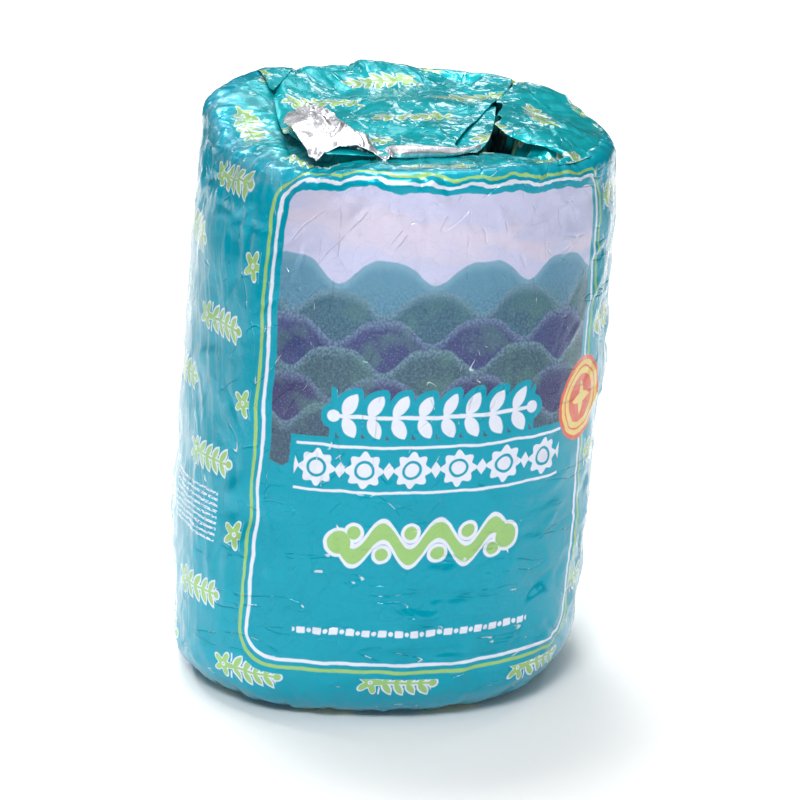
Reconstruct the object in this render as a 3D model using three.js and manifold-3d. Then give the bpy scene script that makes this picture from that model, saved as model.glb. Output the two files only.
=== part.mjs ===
// A whole blue cheese, a tall cylinder, as sold: wrapped in one sheet of printed foil whose loose
// sides are folded down over the top. Units are millimetres, +Z is up, and the origin is the centre
// of the flat base. The label faces -Y. Angles round the cheese start at -Y and grow towards +X.

import * as THREE from "three";
import { mergeVertices } from "three/addons/utils/BufferGeometryUtils.js";
import Module from "manifold-3d";

const wasm = await Module();
wasm.setup();

// Driving dimensions of the wrapped cheese.
const TOP_HEIGHT = 179; // mean height of the rim, at the axis
const BASE_RADIUS = 68.3;
const MIDDLE_RADIUS = 68.6; // the soft cheese bulges slightly at half height
const TOP_RADIUS = 65.3;
const BASE_ROUNDING = 17;
const RIM_ROUNDING = 5.5;
const LEAN_X = 11.7; // how far the top has slumped sideways from the base
const LEAN_Y = -3.1;
const SQUARE_AT_BASE = 0.032; // flats pressed into the round by handling, as a share of the radius
const SQUARE_AT_TOP = -0.01;
const SQUARE_TURN = -0.257; // where the first flat faces, in radians

// The loose foil on the top is far thinner than this: the extra keeps each layer a sound solid.
const LAYER = 1.3;
const EMBED = 0.6; // how deep a layer sits in what is under it
const GUTTER_DEPTH = 5; // the dark gap under the free edges of the layers
const POCKET_FLOOR = 175;

const WRAP_COLOUR = 0x12979b;
const SILVER_COLOUR = 0xd9dade;

// How finely the round parts are divided.
const AROUND = 84;
const BASE_STEPS = 5;
const WALL_STEPS = 14;
const RIM_STEPS = 3;
const TOP_STEPS = 15;

const clamp = (t) => Math.min(1, Math.max(0, t));
const mix = (a, b, t) => a + (b - a) * t;
const smooth = (a, b, x) => {
  const t = clamp((x - a) / (b - a));
  return t * t * (3 - 2 * t);
};
const degrees = (a) => (a * Math.PI) / 180;
const inDegrees = (a) => (a * 180) / Math.PI;
const wrapAngle = (a) => Math.atan2(Math.sin(a), Math.cos(a));
// A straight-sided ridge of height 1 at its centre, as folded foil makes.
const ridge = (x, halfWidth) => clamp(1 - Math.abs(x) / halfWidth);

// Reads a smooth curve given as [where, value] pairs in rising order.
function along(pairs, x) {
  const last = pairs.length - 1;
  if (x <= pairs[0][0]) return pairs[0][1];
  if (x >= pairs[last][0]) return pairs[last][1];
  const i = pairs.findIndex(([where]) => where > x) - 1;
  const [from, low] = pairs[i];
  const [to, high] = pairs[i + 1];
  return mix(low, high, smooth(from, to, x));
}

// Height of the folded rim all round, by the angle in degrees. The back left corner is an upright
// ear, and the rim sags at the two corners of the label.
const RIM_HEIGHTS = [
  [-180, 184.6],
  [-160, 185.4],
  [-141, 188.6],
  [-130, 186],
  [-106, 185],
  [-94, 182.4],
  [-80, 180],
  [-56, 176.6],
  [-34, 176.4],
  [14, 176.8],
  [42, 174.8],
  [62, 176],
  [80, 176.8],
  [106, 179.6],
  [122, 182],
  [137, 182.6],
  [180, 184.6],
];
const rimHeight = (angle) => along(RIM_HEIGHTS, inDegrees(wrapAngle(angle)));

// Pinches and dents of the wrapper on the wall.
const PINCHES = [
  { angle: -57, z: 138, halfAngle: 9, halfHeight: 60, out: 1.5 },
  { angle: -104, z: 150, halfAngle: 11, halfHeight: 45, out: 1.3 },
  { angle: 55, z: 130, halfAngle: 8, halfHeight: 60, out: 1.2 },
  { angle: 76, z: 178, halfAngle: 34, halfHeight: 24, out: -1.6 },
  { angle: 72, z: 118, halfAngle: 14, halfHeight: 9, out: 1.3 },
  { angle: 70, z: 102, halfAngle: 17, halfHeight: 14, out: 1.4 },
  { angle: 60, z: 58, halfAngle: 18, halfHeight: 12, out: 0.9 },
  { angle: 78, z: 30, halfAngle: 16, halfHeight: 12, out: 1.6 },
  { angle: -104, z: 20, halfAngle: 42, halfHeight: 26, out: -1.7 },
  { angle: -104, z: 54, halfAngle: 26, halfHeight: 20, out: 1.3 },
  { angle: -122, z: 184, halfAngle: 24, halfHeight: 44, out: 1.6 },
  { angle: 150, z: 118, halfAngle: 9, halfHeight: 80, out: 1.2 },
  { angle: -150, z: 92, halfAngle: 9, halfHeight: 70, out: 1.2 },
];

function wallRelief(angle, z) {
  let out = 0.3 * Math.cos(5 * angle + 0.03 * z) + 0.2 * Math.cos(9 * angle - 0.05 * z + 1.3) - 0.3;
  for (const p of PINCHES) {
    const across = ridge(wrapAngle(angle - degrees(p.angle)), degrees(p.halfAngle));
    out += p.out * across * smooth(0, 1, ridge(z - p.z, p.halfHeight));
  }
  return out;
}

// Radius of the wrapped cheese from its slumped axis.
function wallRadius(angle, z) {
  const t = clamp(z / TOP_HEIGHT);
  const profile =
    BASE_RADIUS * (1 - t) * (1 - 2 * t) +
    MIDDLE_RADIUS * 4 * t * (1 - t) +
    TOP_RADIUS * t * (2 * t - 1);
  const square = 1 - mix(SQUARE_AT_BASE, SQUARE_AT_TOP, t) * Math.cos(4 * (angle - SQUARE_TURN));
  return profile * square + wallRelief(angle, z) * smooth(0, 30, z);
}

// Places a point given from the slumped axis into the part's frame.
const fromAxis = (x, y, z) =>
  new THREE.Vector3(x + (LEAN_X * z) / TOP_HEIGHT, y + (LEAN_Y * z) / TOP_HEIGHT, z);

// Where the back flap leaves the rim, in degrees, and its free edges in plan from the axis.
const FLAP_FROM = 139;
const FLAP_TO = 218;
const FLAP_INSET = 2.4;
const FLAP_LEFT_EDGE = [
  [-40, 33],
  [-41, 20],
  [-43, 0],
  [-43.5, -12],
  [-41.5, -24],
  [-37, -36],
];
const FLAP_FRONT_EDGE = [
  [-37, -36],
  [-22, -39],
  [-6, -40.5],
  [10, -38],
];
const FLAP_RIGHT_EDGE = [
  [10, -38],
  [17, -27],
  [24, -8],
  [33, 12],
];

// A point of the flap's back edge, on the rim.
function flapBack(where) {
  const angle = degrees(where);
  const reach = wallRadius(angle, TOP_HEIGHT) - FLAP_INSET;
  return [reach * Math.sin(angle), -reach * Math.cos(angle)];
}

const FREE_EDGE = [
  flapBack(FLAP_TO),
  ...FLAP_LEFT_EDGE,
  ...FLAP_FRONT_EDGE.slice(1),
  ...FLAP_RIGHT_EDGE.slice(1),
  flapBack(FLAP_FROM),
];
const FLAP_OUTLINE = [...FREE_EDGE, [60, 70], [0, 90], [-60, 80]];

// Distance from a point to a line of points, in plan.
function distanceTo(line, x, y) {
  let least = Infinity;
  for (let i = 0; i + 1 < line.length; i++) {
    const [ax, ay] = line[i];
    const [dx, dy] = [line[i + 1][0] - ax, line[i + 1][1] - ay];
    const t = clamp(((x - ax) * dx + (y - ay) * dy) / (dx * dx + dy * dy));
    least = Math.min(least, Math.hypot(x - ax - t * dx, y - ay - t * dy));
  }
  return least;
}

// Whether a point is inside a closed outline, in plan.
function isInside(outline, x, y) {
  let inside = false;
  for (let i = 0, j = outline.length - 1; i < outline.length; j = i++) {
    const [xi, yi] = outline[i];
    const [xj, yj] = outline[j];
    if (yi > y !== yj > y && x < ((xj - xi) * (y - yi)) / (yj - yi) + xi) inside = !inside;
  }
  return inside;
}

// How far inside the flap a point is, from its free edges; negative outside it.
const insideFlap = (x, y) => distanceTo(FREE_EDGE, x, y) * (isInside(FLAP_OUTLINE, x, y) ? 1 : -1);

// The pleat of the flap: right of this line the foil lies one fold lower.
const PLEAT_FROM = [28, 10];
const PLEAT_TO = [3, -36];
const PLEAT_STEP = 1.2;

function rightOfPleat(x, y) {
  const [dx, dy] = [PLEAT_TO[0] - PLEAT_FROM[0], PLEAT_TO[1] - PLEAT_FROM[1]];
  return ((x - PLEAT_FROM[0]) * -dy + (y - PLEAT_FROM[1]) * dx) / Math.hypot(dx, dy);
}

// Height of the flap's back edge, by the angle in degrees: a straight tab stands a little proud of
// the rim and ends in a step, and the ear stands at the left end.
const FLAP_BACK_HEIGHTS = [
  [139, 183],
  [150, 184.2],
  [181, 187.2],
  [185, 186],
  [200, 187],
  [218, 189.6],
];

// Height of the flap's face, which falls towards the front.
function flapHeight(x, y) {
  const reach = Math.hypot(x, y);
  const where = (inDegrees(Math.atan2(x, -y)) + 360) % 360;
  const crown = 1.5 * (1 - smooth(10, 52, reach));
  const waves = 0.5 * Math.sin(x / 7 + y / 11) * Math.sin(y / 8 - x / 19);
  const pleat = PLEAT_STEP * smooth(-0.5, 2.5, rightOfPleat(x, y));
  const atBack = smooth(34, 58, reach) * smooth(0, 24, y);
  return mix(181.2 + 0.05 * y + crown + waves - pleat, along(FLAP_BACK_HEIGHTS, where), atBack);
}

// Inner lip of the right-hand side fold. It is given round a centre of its own: by the angle in
// degrees, how far the lip is and how high it stands. Its front arches up and leaves a dark pocket.
const TUCK_CENTRE = [0, -30];
const TUCK_FROM = 66;
const TUCK_TO = 144;
const LIP_REACH = [
  [62, 44],
  [66, 38.5],
  [70, 34],
  [76, 26.6],
  [88, 21],
  [104, 19.6],
  [125, 29],
  [141, 46],
  [149, 84],
];
const LIP_HEIGHTS = [
  [62, 177],
  [70, 179],
  [76, 180.2],
  [88, 182.4],
  [104, 183.8],
  [141, 183.6],
  [149, 184.6],
];

// A place on the top seen from the side fold's centre: the angle, how far out the point is, and how
// far out the edge of the rim is that way.
function fromTuckCentre(x, y) {
  const [dx, dy] = [x - TUCK_CENTRE[0], y - TUCK_CENTRE[1]];
  const reach = Math.hypot(dx, dy);
  return { where: inDegrees(Math.atan2(dx, -dy)), reach };
}

function rimFromTuckCentre(where) {
  const [wayX, wayY] = [Math.sin(degrees(where)), -Math.cos(degrees(where))];
  const ahead = TUCK_CENTRE[0] * wayX + TUCK_CENTRE[1] * wayY;
  const rim = TOP_RADIUS - RIM_ROUNDING;
  return -ahead + Math.sqrt(ahead * ahead + rim * rim - TUCK_CENTRE[0] ** 2 - TUCK_CENTRE[1] ** 2);
}

// Height of the side fold's face.
function tuckHeight(x, y) {
  const { where, reach } = fromTuckCentre(x, y);
  const rim = rimFromTuckCentre(where);
  const inward = clamp((rim - reach) / Math.max(3, rim - along(LIP_REACH, where)));
  const swell = 1.3 * Math.sin(Math.PI * inward) + 0.4 * Math.sin(x / 4 - y / 6) * inward;
  return mix(rimHeight(Math.atan2(x, -y)) - 0.3, along(LIP_HEIGHTS, where), inward) + swell;
}

// How far outwards of the side fold's lip a point is; negative where the fold doesn't reach.
function insideTuck(x, y) {
  const { where, reach } = fromTuckCentre(x, y);
  if (where < TUCK_FROM - 3 || where > TUCK_TO + 2) return -20;
  return reach - along(LIP_REACH, where);
}

// Creases of the front and left folds: long low ridges that run inwards from the rim.
const TOP_FOLDS = [
  { angle: -122, halfAngle: 11, out: 1.5 },
  { angle: -90, halfAngle: 9, out: -1.2 },
  { angle: -70, halfAngle: 8, out: 1.0 },
  { angle: -26, halfAngle: 8, out: 0.8 },
  { angle: -3, halfAngle: 7, out: -0.8 },
  { angle: 17, halfAngle: 8, out: 0.8 },
];

// Height of the front and left folds.
function foldHeight(x, y) {
  const reach = Math.hypot(x, y);
  const angle = Math.atan2(x, -y);
  let z = rimHeight(angle) - 2.6 * smooth(60, 42, reach) * smooth(-45, -15, y);
  for (const fold of TOP_FOLDS) {
    const across = ridge(wrapAngle(angle - degrees(fold.angle)), degrees(fold.halfAngle));
    z += fold.out * across * smooth(40, 52, reach);
  }
  return z;
}

// Height of the body's top, under and around the loose layers.
function topHeight(x, y) {
  const flap = smooth(-2, 3, insideFlap(x, y));
  const tuck = smooth(-3, 4, insideTuck(x, y));
  const z = mix(mix(foldHeight(x, y), flapHeight(x, y) - EMBED, flap), tuckHeight(x, y) - EMBED, tuck);
  return mix(z, rimHeight(Math.atan2(x, -y)), smooth(56, 60, Math.hypot(x, y)));
}

// The round profile that the body is turned from, base centre to top centre.
function bodyProfile() {
  const flat = BASE_RADIUS - BASE_ROUNDING;
  const wallTop = TOP_HEIGHT - RIM_ROUNDING;
  const topReach = BASE_RADIUS - RIM_ROUNDING;
  const points = [];
  const add = (radius, z) => points.push(new THREE.Vector2(radius, z));
  add(0, 0);
  add(flat / 2, 0);
  add(flat, 0);
  for (let i = 1; i <= BASE_STEPS; i++) {
    const a = (i / BASE_STEPS) * (Math.PI / 2);
    add(flat + BASE_ROUNDING * Math.sin(a), BASE_ROUNDING * (1 - Math.cos(a)));
  }
  for (let i = 1; i <= WALL_STEPS; i++) {
    add(BASE_RADIUS, mix(BASE_ROUNDING, wallTop, i / WALL_STEPS));
  }
  for (let i = 1; i <= RIM_STEPS; i++) {
    const a = (i / RIM_STEPS) * (Math.PI / 2);
    add(topReach + RIM_ROUNDING * Math.cos(a), wallTop + RIM_ROUNDING * Math.sin(a));
  }
  for (let i = 1; i <= TOP_STEPS; i++) {
    add(topReach * (1 - i / TOP_STEPS), TOP_HEIGHT);
  }
  return points;
}

// Moves a point of the plain round body to where the slumped and creased one has it.
function slump(angle, plainRadius, plainZ) {
  const wall = wallRadius(angle, plainZ);
  if (plainZ > TOP_HEIGHT - 1e-6) {
    const reach = ((wall - RIM_ROUNDING) * plainRadius) / (BASE_RADIUS - RIM_ROUNDING);
    const [x, y] = [reach * Math.sin(angle), -reach * Math.cos(angle)];
    return fromAxis(x, y, topHeight(x, y));
  }
  const reach = plainZ > 0 ? wall - (BASE_RADIUS - plainRadius) : plainRadius;
  const lift = smooth(60, TOP_HEIGHT - RIM_ROUNDING, plainZ);
  const z = plainZ + lift * (rimHeight(angle) - TOP_HEIGHT);
  return fromAxis(reach * Math.sin(angle), -reach * Math.cos(angle), z);
}

function bodyGeometry() {
  const geometry = new THREE.LatheGeometry(bodyProfile(), AROUND);
  const position = geometry.getAttribute("position");
  for (let i = 0; i < position.count; i++) {
    // The lathe turns about +Y: its height becomes +Z here.
    const x = position.getX(i);
    const z = position.getZ(i);
    const p = slump(Math.atan2(x, z), Math.hypot(x, z), position.getY(i));
    position.setXYZ(i, p.x, p.y, p.z);
  }
  return geometry;
}

// A closed layer under a face (u, v) -> Vector3; depth(u, v) is how far down its underside is.
function layerGeometry(face, depth, acrossSteps, alongSteps) {
  const columns = acrossSteps + 1;
  const rows = alongSteps + 1;
  const positions = [];
  for (const under of [0, 1]) {
    for (let j = 0; j < rows; j++) {
      for (let i = 0; i < columns; i++) {
        const [u, v] = [i / acrossSteps, j / alongSteps];
        const p = face(u, v);
        positions.push(p.x, p.y, p.z - under * depth(u, v));
      }
    }
  }
  const at = (under, i, j) => under * columns * rows + j * columns + i;
  const index = [];
  const quad = (a, b, c, d) => index.push(a, b, c, a, c, d);
  for (let j = 0; j < alongSteps; j++) {
    for (let i = 0; i < acrossSteps; i++) {
      quad(at(0, i, j), at(0, i + 1, j), at(0, i + 1, j + 1), at(0, i, j + 1));
      quad(at(1, i, j), at(1, i, j + 1), at(1, i + 1, j + 1), at(1, i + 1, j));
    }
  }
  const [iEnd, jEnd] = [acrossSteps, alongSteps];
  for (let i = 0; i < acrossSteps; i++) {
    quad(at(1, i, 0), at(1, i + 1, 0), at(0, i + 1, 0), at(0, i, 0));
    quad(at(0, i, jEnd), at(0, i + 1, jEnd), at(1, i + 1, jEnd), at(1, i, jEnd));
  }
  for (let j = 0; j < alongSteps; j++) {
    quad(at(0, 0, j), at(0, 0, j + 1), at(1, 0, j + 1), at(1, 0, j));
    quad(at(1, iEnd, j), at(1, iEnd, j + 1), at(0, iEnd, j + 1), at(0, iEnd, j));
  }
  const geometry = new THREE.BufferGeometry();
  geometry.setAttribute("position", new THREE.Float32BufferAttribute(positions, 3));
  geometry.setIndex(index);
  return geometry;
}

// A smooth curve through points given in plan.
function planCurve(points) {
  const places = points.map(([x, y]) => new THREE.Vector3(x, y, 0));
  return new THREE.CatmullRomCurve3(places, false, "catmullrom", 0.4);
}

// Right-hand side fold, from just inside the rim to its lip.
function tuckFace(u, v) {
  const where = mix(TUCK_FROM, TUCK_TO, u);
  const rim = rimFromTuckCentre(where);
  const reach = mix(rim + 1, Math.min(along(LIP_REACH, where), rim - 2), v);
  const x = TUCK_CENTRE[0] + reach * Math.sin(degrees(where));
  const y = TUCK_CENTRE[1] - reach * Math.cos(degrees(where));
  return fromAxis(x, y, tuckHeight(x, y));
}

const flapFront = planCurve([...FLAP_FRONT_EDGE].reverse());
const flapLeft = planCurve([flapBack(FLAP_TO), ...FLAP_LEFT_EDGE]);
const flapRight = planCurve([flapBack(FLAP_FROM), ...[...FLAP_RIGHT_EDGE].reverse()]);

// Back flap, from the back of the rim to its front edge: a patch that follows its four edges.
function flapFace(u, v) {
  const [backX, backY] = flapBack(mix(FLAP_FROM, FLAP_TO, u));
  const p = new THREE.Vector3(backX, backY, 0).multiplyScalar(1 - v);
  p.addScaledVector(flapFront.getPoint(u), v);
  p.addScaledVector(flapRight.getPoint(v), 1 - u);
  p.addScaledVector(flapLeft.getPoint(v), u);
  p.addScaledVector(flapRight.getPoint(0), (u - 1) * (1 - v));
  p.addScaledVector(flapLeft.getPoint(0), -u * (1 - v));
  p.addScaledVector(flapRight.getPoint(1), (u - 1) * v);
  p.addScaledVector(flapLeft.getPoint(1), -u * v);
  const turnedDown = 4 * (1 - smooth(0, 0.13, v)) ** 2;
  return fromAxis(p.x, p.y, flapHeight(p.x, p.y) - turnedDown);
}

// The flap is thick at the rim, where it is one with the folded wall, and thin at its free edges.
const flapDepth = (u, v) => mix(5, LAYER, smooth(0, 0.18, v));

// Turned-back edge of the flap, which shows the foil's bare inside: a wide crumpled corner on the
// left, then a narrow curled strip.
const silverFront = planCurve([
  [-41, -39],
  [-37.5, -35],
  [-33, -34],
  [-28, -39],
  [-21, -41],
  [-13, -42],
  [-4, -42.5],
  [4, -41.5],
  [10, -40],
]);
const silverBack = planCurve([
  [-45.5, -12],
  [-41, -1],
  [-34, 0],
  [-27, -8],
  [-24, -20],
  [-19, -33],
  [-6, -37],
  [4, -37.5],
  [11, -38],
]);

function silverFace(u, v) {
  const p = silverFront.getPoint(u).lerp(silverBack.getPoint(u), v);
  const wide = 1 - smooth(0.36, 0.52, u);
  const curl = Math.sin(Math.PI * Math.min(1, v * 1.15)) ** 0.7;
  const lifted = 3.6 * wide * smooth(0, 0.9, v) + curl * mix(1.1, 1.9, wide);
  const facets = Math.abs(Math.sin(25 * u + 6 * v) * Math.cos(14 * u - 8 * v));
  const crumple = 1.4 * wide * smooth(0.1, 0.5, v) * facets;
  const floor = Math.max(flapHeight(p.x, p.y), topHeight(p.x, p.y));
  return fromAxis(p.x, p.y, floor + 0.7 + LAYER + lifted + crumple);
}

// A cutter for the gap under a free edge: a channel along a line, from so far outside the edge to
// so far inside it. The line runs so that the layer is on its left.
function gutterGeometry(line, outside, inside, steps) {
  const curve = planCurve(line);
  const acrossSteps = 6;
  const place = (u, v) => {
    const at = curve.getPoint(u);
    const way = curve.getTangent(u);
    const offset = mix(-outside(u), inside, v);
    return [at.x - way.y * offset, at.y + way.x * offset];
  };
  const face = (u, v) => fromAxis(...place(u, v), TOP_HEIGHT + 20);
  const depth = (u, v) => {
    const channel = smooth(0, 0.3, v) * (1 - smooth(0.6, 1, v)) * smooth(0, 0.12, u) * smooth(1, 0.88, u);
    return TOP_HEIGHT + 20 - (topHeight(...place(u, v)) + 0.8 - (GUTTER_DEPTH + 0.8) * channel);
  };
  return layerGeometry(face, depth, steps, acrossSteps);
}

// A cutter for the pocket under the side fold's lip, between it and the flap.
function pocketGeometry() {
  const left = planCurve([
    [7, -46],
    [9, -36],
    [14, -26],
    [20, -12],
  ]);
  const right = planCurve([
    [42, -49],
    [38, -38],
    [34, -24],
    [27, -10],
  ]);
  const face = (u, v) => {
    const p = left.getPoint(v).lerp(right.getPoint(v), u);
    return fromAxis(p.x, p.y, TOP_HEIGHT + 20);
  };
  const depth = (u, v) => {
    const p = left.getPoint(v).lerp(right.getPoint(v), u);
    const hollow = smooth(0, 0.2, u) * smooth(1, 0.7, u) * smooth(0, 0.35, v) * smooth(1, 0.8, v);
    return TOP_HEIGHT + 20 - mix(topHeight(p.x, p.y) + 0.8, POCKET_FLOOR, hollow);
  };
  return layerGeometry(face, depth, 9, 9);
}

// Welds a geometry's shared corners and drops the triangles that this closes up.
function weld(geometry) {
  const plain = geometry.clone();
  plain.deleteAttribute("normal");
  plain.deleteAttribute("uv");
  const welded = mergeVertices(plain, 1e-4);
  const corners = welded.getIndex().array;
  const kept = [];
  for (let i = 0; i < corners.length; i += 3) {
    const [a, b, c] = [corners[i], corners[i + 1], corners[i + 2]];
    if (a !== b && b !== c && c !== a) kept.push(a, b, c);
  }
  welded.setIndex(kept);
  welded.computeVertexNormals();
  return welded;
}

function toSolid(geometry) {
  const welded = weld(geometry);
  return new wasm.Manifold(
    new wasm.Mesh({
      numProp: 3,
      vertProperties: new Float32Array(welded.getAttribute("position").array),
      triVerts: new Uint32Array(welded.getIndex().array),
    }),
  );
}

function toGeometry(solid) {
  const { vertProperties, triVerts } = solid.getMesh();
  const geometry = new THREE.BufferGeometry();
  geometry.setAttribute("position", new THREE.Float32BufferAttribute(vertProperties, 3));
  geometry.setIndex([...triVerts]);
  geometry.computeVertexNormals();
  return geometry;
}

function mesh(name, geometry, colour, metalness, roughness) {
  const material = new THREE.MeshStandardMaterial({ color: colour, metalness, roughness });
  const made = new THREE.Mesh(geometry, material);
  made.name = name;
  return made;
}

const leftGutter = gutterGeometry(
  [[-39.5, 47], ...FLAP_LEFT_EDGE, [-34, -42]],
  (u) => mix(0.6, 4.6, Math.sin(Math.PI * clamp(u * 1.1 - 0.1)) ** 0.6),
  7,
  16,
);
const frontGutter = gutterGeometry([[-43, -35], ...FLAP_FRONT_EDGE, [17, -35]], () => 1.2, 7, 14);
const body = toSolid(bodyGeometry())
  .subtract(toSolid(leftGutter))
  .subtract(toSolid(frontGutter))
  .subtract(toSolid(pocketGeometry()));
const tuck = toSolid(layerGeometry(tuckFace, () => LAYER, 22, 7));
const flap = toSolid(layerGeometry(flapFace, flapDepth, 18, 16));
// Where the layers press together, hair-thin gaps would stay sealed between them: only the outer
// shell is kept, which makes such places solid.
const shells = body.add(tuck).add(flap).decompose();
const wrapped = shells.reduce((most, shell) => (shell.volume() > most.volume() ? shell : most));

const silver = weld(layerGeometry(silverFace, () => LAYER, 26, 6));

const cheese = new THREE.Group();
cheese.add(mesh("wrapped_cheese", toGeometry(wrapped), WRAP_COLOUR, 0.25, 0.35));
cheese.add(mesh("silver_edge", silver, SILVER_COLOUR, 0.9, 0.35));

export default cheese;
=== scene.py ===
"""A whole blue cheese in its printed foil wrapper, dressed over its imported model.

Sizes in the classes are millimetres and degrees; meshes are made in metres. Angles round the cheese
start at -Y, which the label faces, and grow towards +X.
"""

import logging
import math
from dataclasses import dataclass
from enum import Enum
from functools import partialmethod
from typing import Any

import bpy
import numpy as np
from bpy.types import ID, Material, NodeSocket, NodeTree, Object
from mathutils import Matrix, Vector


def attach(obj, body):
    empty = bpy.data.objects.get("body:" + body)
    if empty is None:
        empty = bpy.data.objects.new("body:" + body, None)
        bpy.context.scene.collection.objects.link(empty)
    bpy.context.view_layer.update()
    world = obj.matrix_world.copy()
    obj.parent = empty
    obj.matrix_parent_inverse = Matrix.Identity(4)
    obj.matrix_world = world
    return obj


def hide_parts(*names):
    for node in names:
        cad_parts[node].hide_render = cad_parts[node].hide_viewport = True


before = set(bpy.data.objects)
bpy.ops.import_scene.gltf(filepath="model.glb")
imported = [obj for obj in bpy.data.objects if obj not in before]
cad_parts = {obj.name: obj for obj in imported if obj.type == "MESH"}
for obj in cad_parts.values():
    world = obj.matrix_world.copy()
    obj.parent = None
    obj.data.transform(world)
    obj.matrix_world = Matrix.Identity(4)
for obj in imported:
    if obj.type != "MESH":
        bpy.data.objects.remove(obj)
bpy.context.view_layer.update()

MM = 0.001
UV_NAME = "sheet"
FOLDING = "crumple"
LOG = logging.getLogger("wrapped_cheese")

Array = np.ndarray
Pair = tuple[float, float]
Pairs = tuple[Pair, ...]
Facets = tuple[tuple[float, float, int], ...]  # width, height and seed of each kind


class FoilFace(Enum):
    """Which face of the foil is up."""

    PRINTED = "foil_print"
    BARE = "foil_inside"


def clamp(value: Array) -> Array:
    """Returns the value kept between 0 and 1."""
    return np.clip(value, 0.0, 1.0)


def mix(low: Array, high: Array, share: Array) -> Array:
    """Returns the value that lies at a share of the way from low to high."""
    return low + (high - low) * share


def smooth(start: Array, end: Array, value: Array) -> Array:
    """Returns 0 at start and 1 at end, with an even ease between."""
    share = clamp((value - start) / (end - start))
    return share * share * (3 - 2 * share)


def ridge(across: Array, half_width: Array) -> Array:
    """Returns a straight-sided ridge of height 1, as folded foil makes."""
    return clamp(1 - np.abs(across) / half_width)


def along(pairs: Pairs, value: Array) -> Array:
    """Reads a smooth curve.

    Args:
        pairs: (where, height) in rising order.
        value: Where to read it.

    Returns:
        The heights there.
    """
    where, height = np.array(pairs, float).T
    step = np.clip(np.searchsorted(where, value, side="right") - 1, 0, len(pairs) - 2)
    return mix(height[step], height[step + 1], smooth(where[step], where[step + 1], value))


def plan_curve(points: Pairs, share: Array) -> Array:
    """Reads a smooth curve through points.

    Args:
        points: The points in plan.
        share: How far along the curve, from 0 to 1.

    Returns:
        The places there, with x and y on the last axis.
    """
    known = np.array(points, float)
    known = np.vstack([2 * known[0] - known[1], known, 2 * known[-1] - known[-2]])
    at = clamp(share) * (len(points) - 1)
    step = np.minimum(at.astype(int), len(points) - 2)
    way = (at - step)[..., None]
    before, start, end, after = (known[step + k] for k in range(4))
    leave, arrive = 0.4 * (end - before), 0.4 * (after - start)
    cubic = 2 * start - 2 * end + leave + arrive
    square = 3 * end - 3 * start - 2 * leave - arrive
    return cubic * way**3 + square * way**2 + leave * way + start


def wrap_angle(angle: Array) -> Array:
    """Returns the same direction between -pi and pi."""
    return np.arctan2(np.sin(angle), np.cos(angle))

def unit_grid(columns: int, rows: int) -> tuple[Array, ...]:
    """Returns u along the columns and v along the rows of a grid, each from 0 to 1."""
    return tuple(np.meshgrid(np.linspace(0, 1, columns), np.linspace(0, 1, rows)))


def put_in_scene(name: str, data: ID) -> Object:
    """Returns a new object in the scene that holds the data."""
    made = bpy.data.objects.new(name, data)
    bpy.context.scene.collection.objects.link(made)
    return made


@dataclass(frozen=True)
class Pinch:
    """A fold or dent that handling left in the wall."""

    angle: float
    z: float
    half_angle: float
    half_height: float
    out: float


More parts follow.
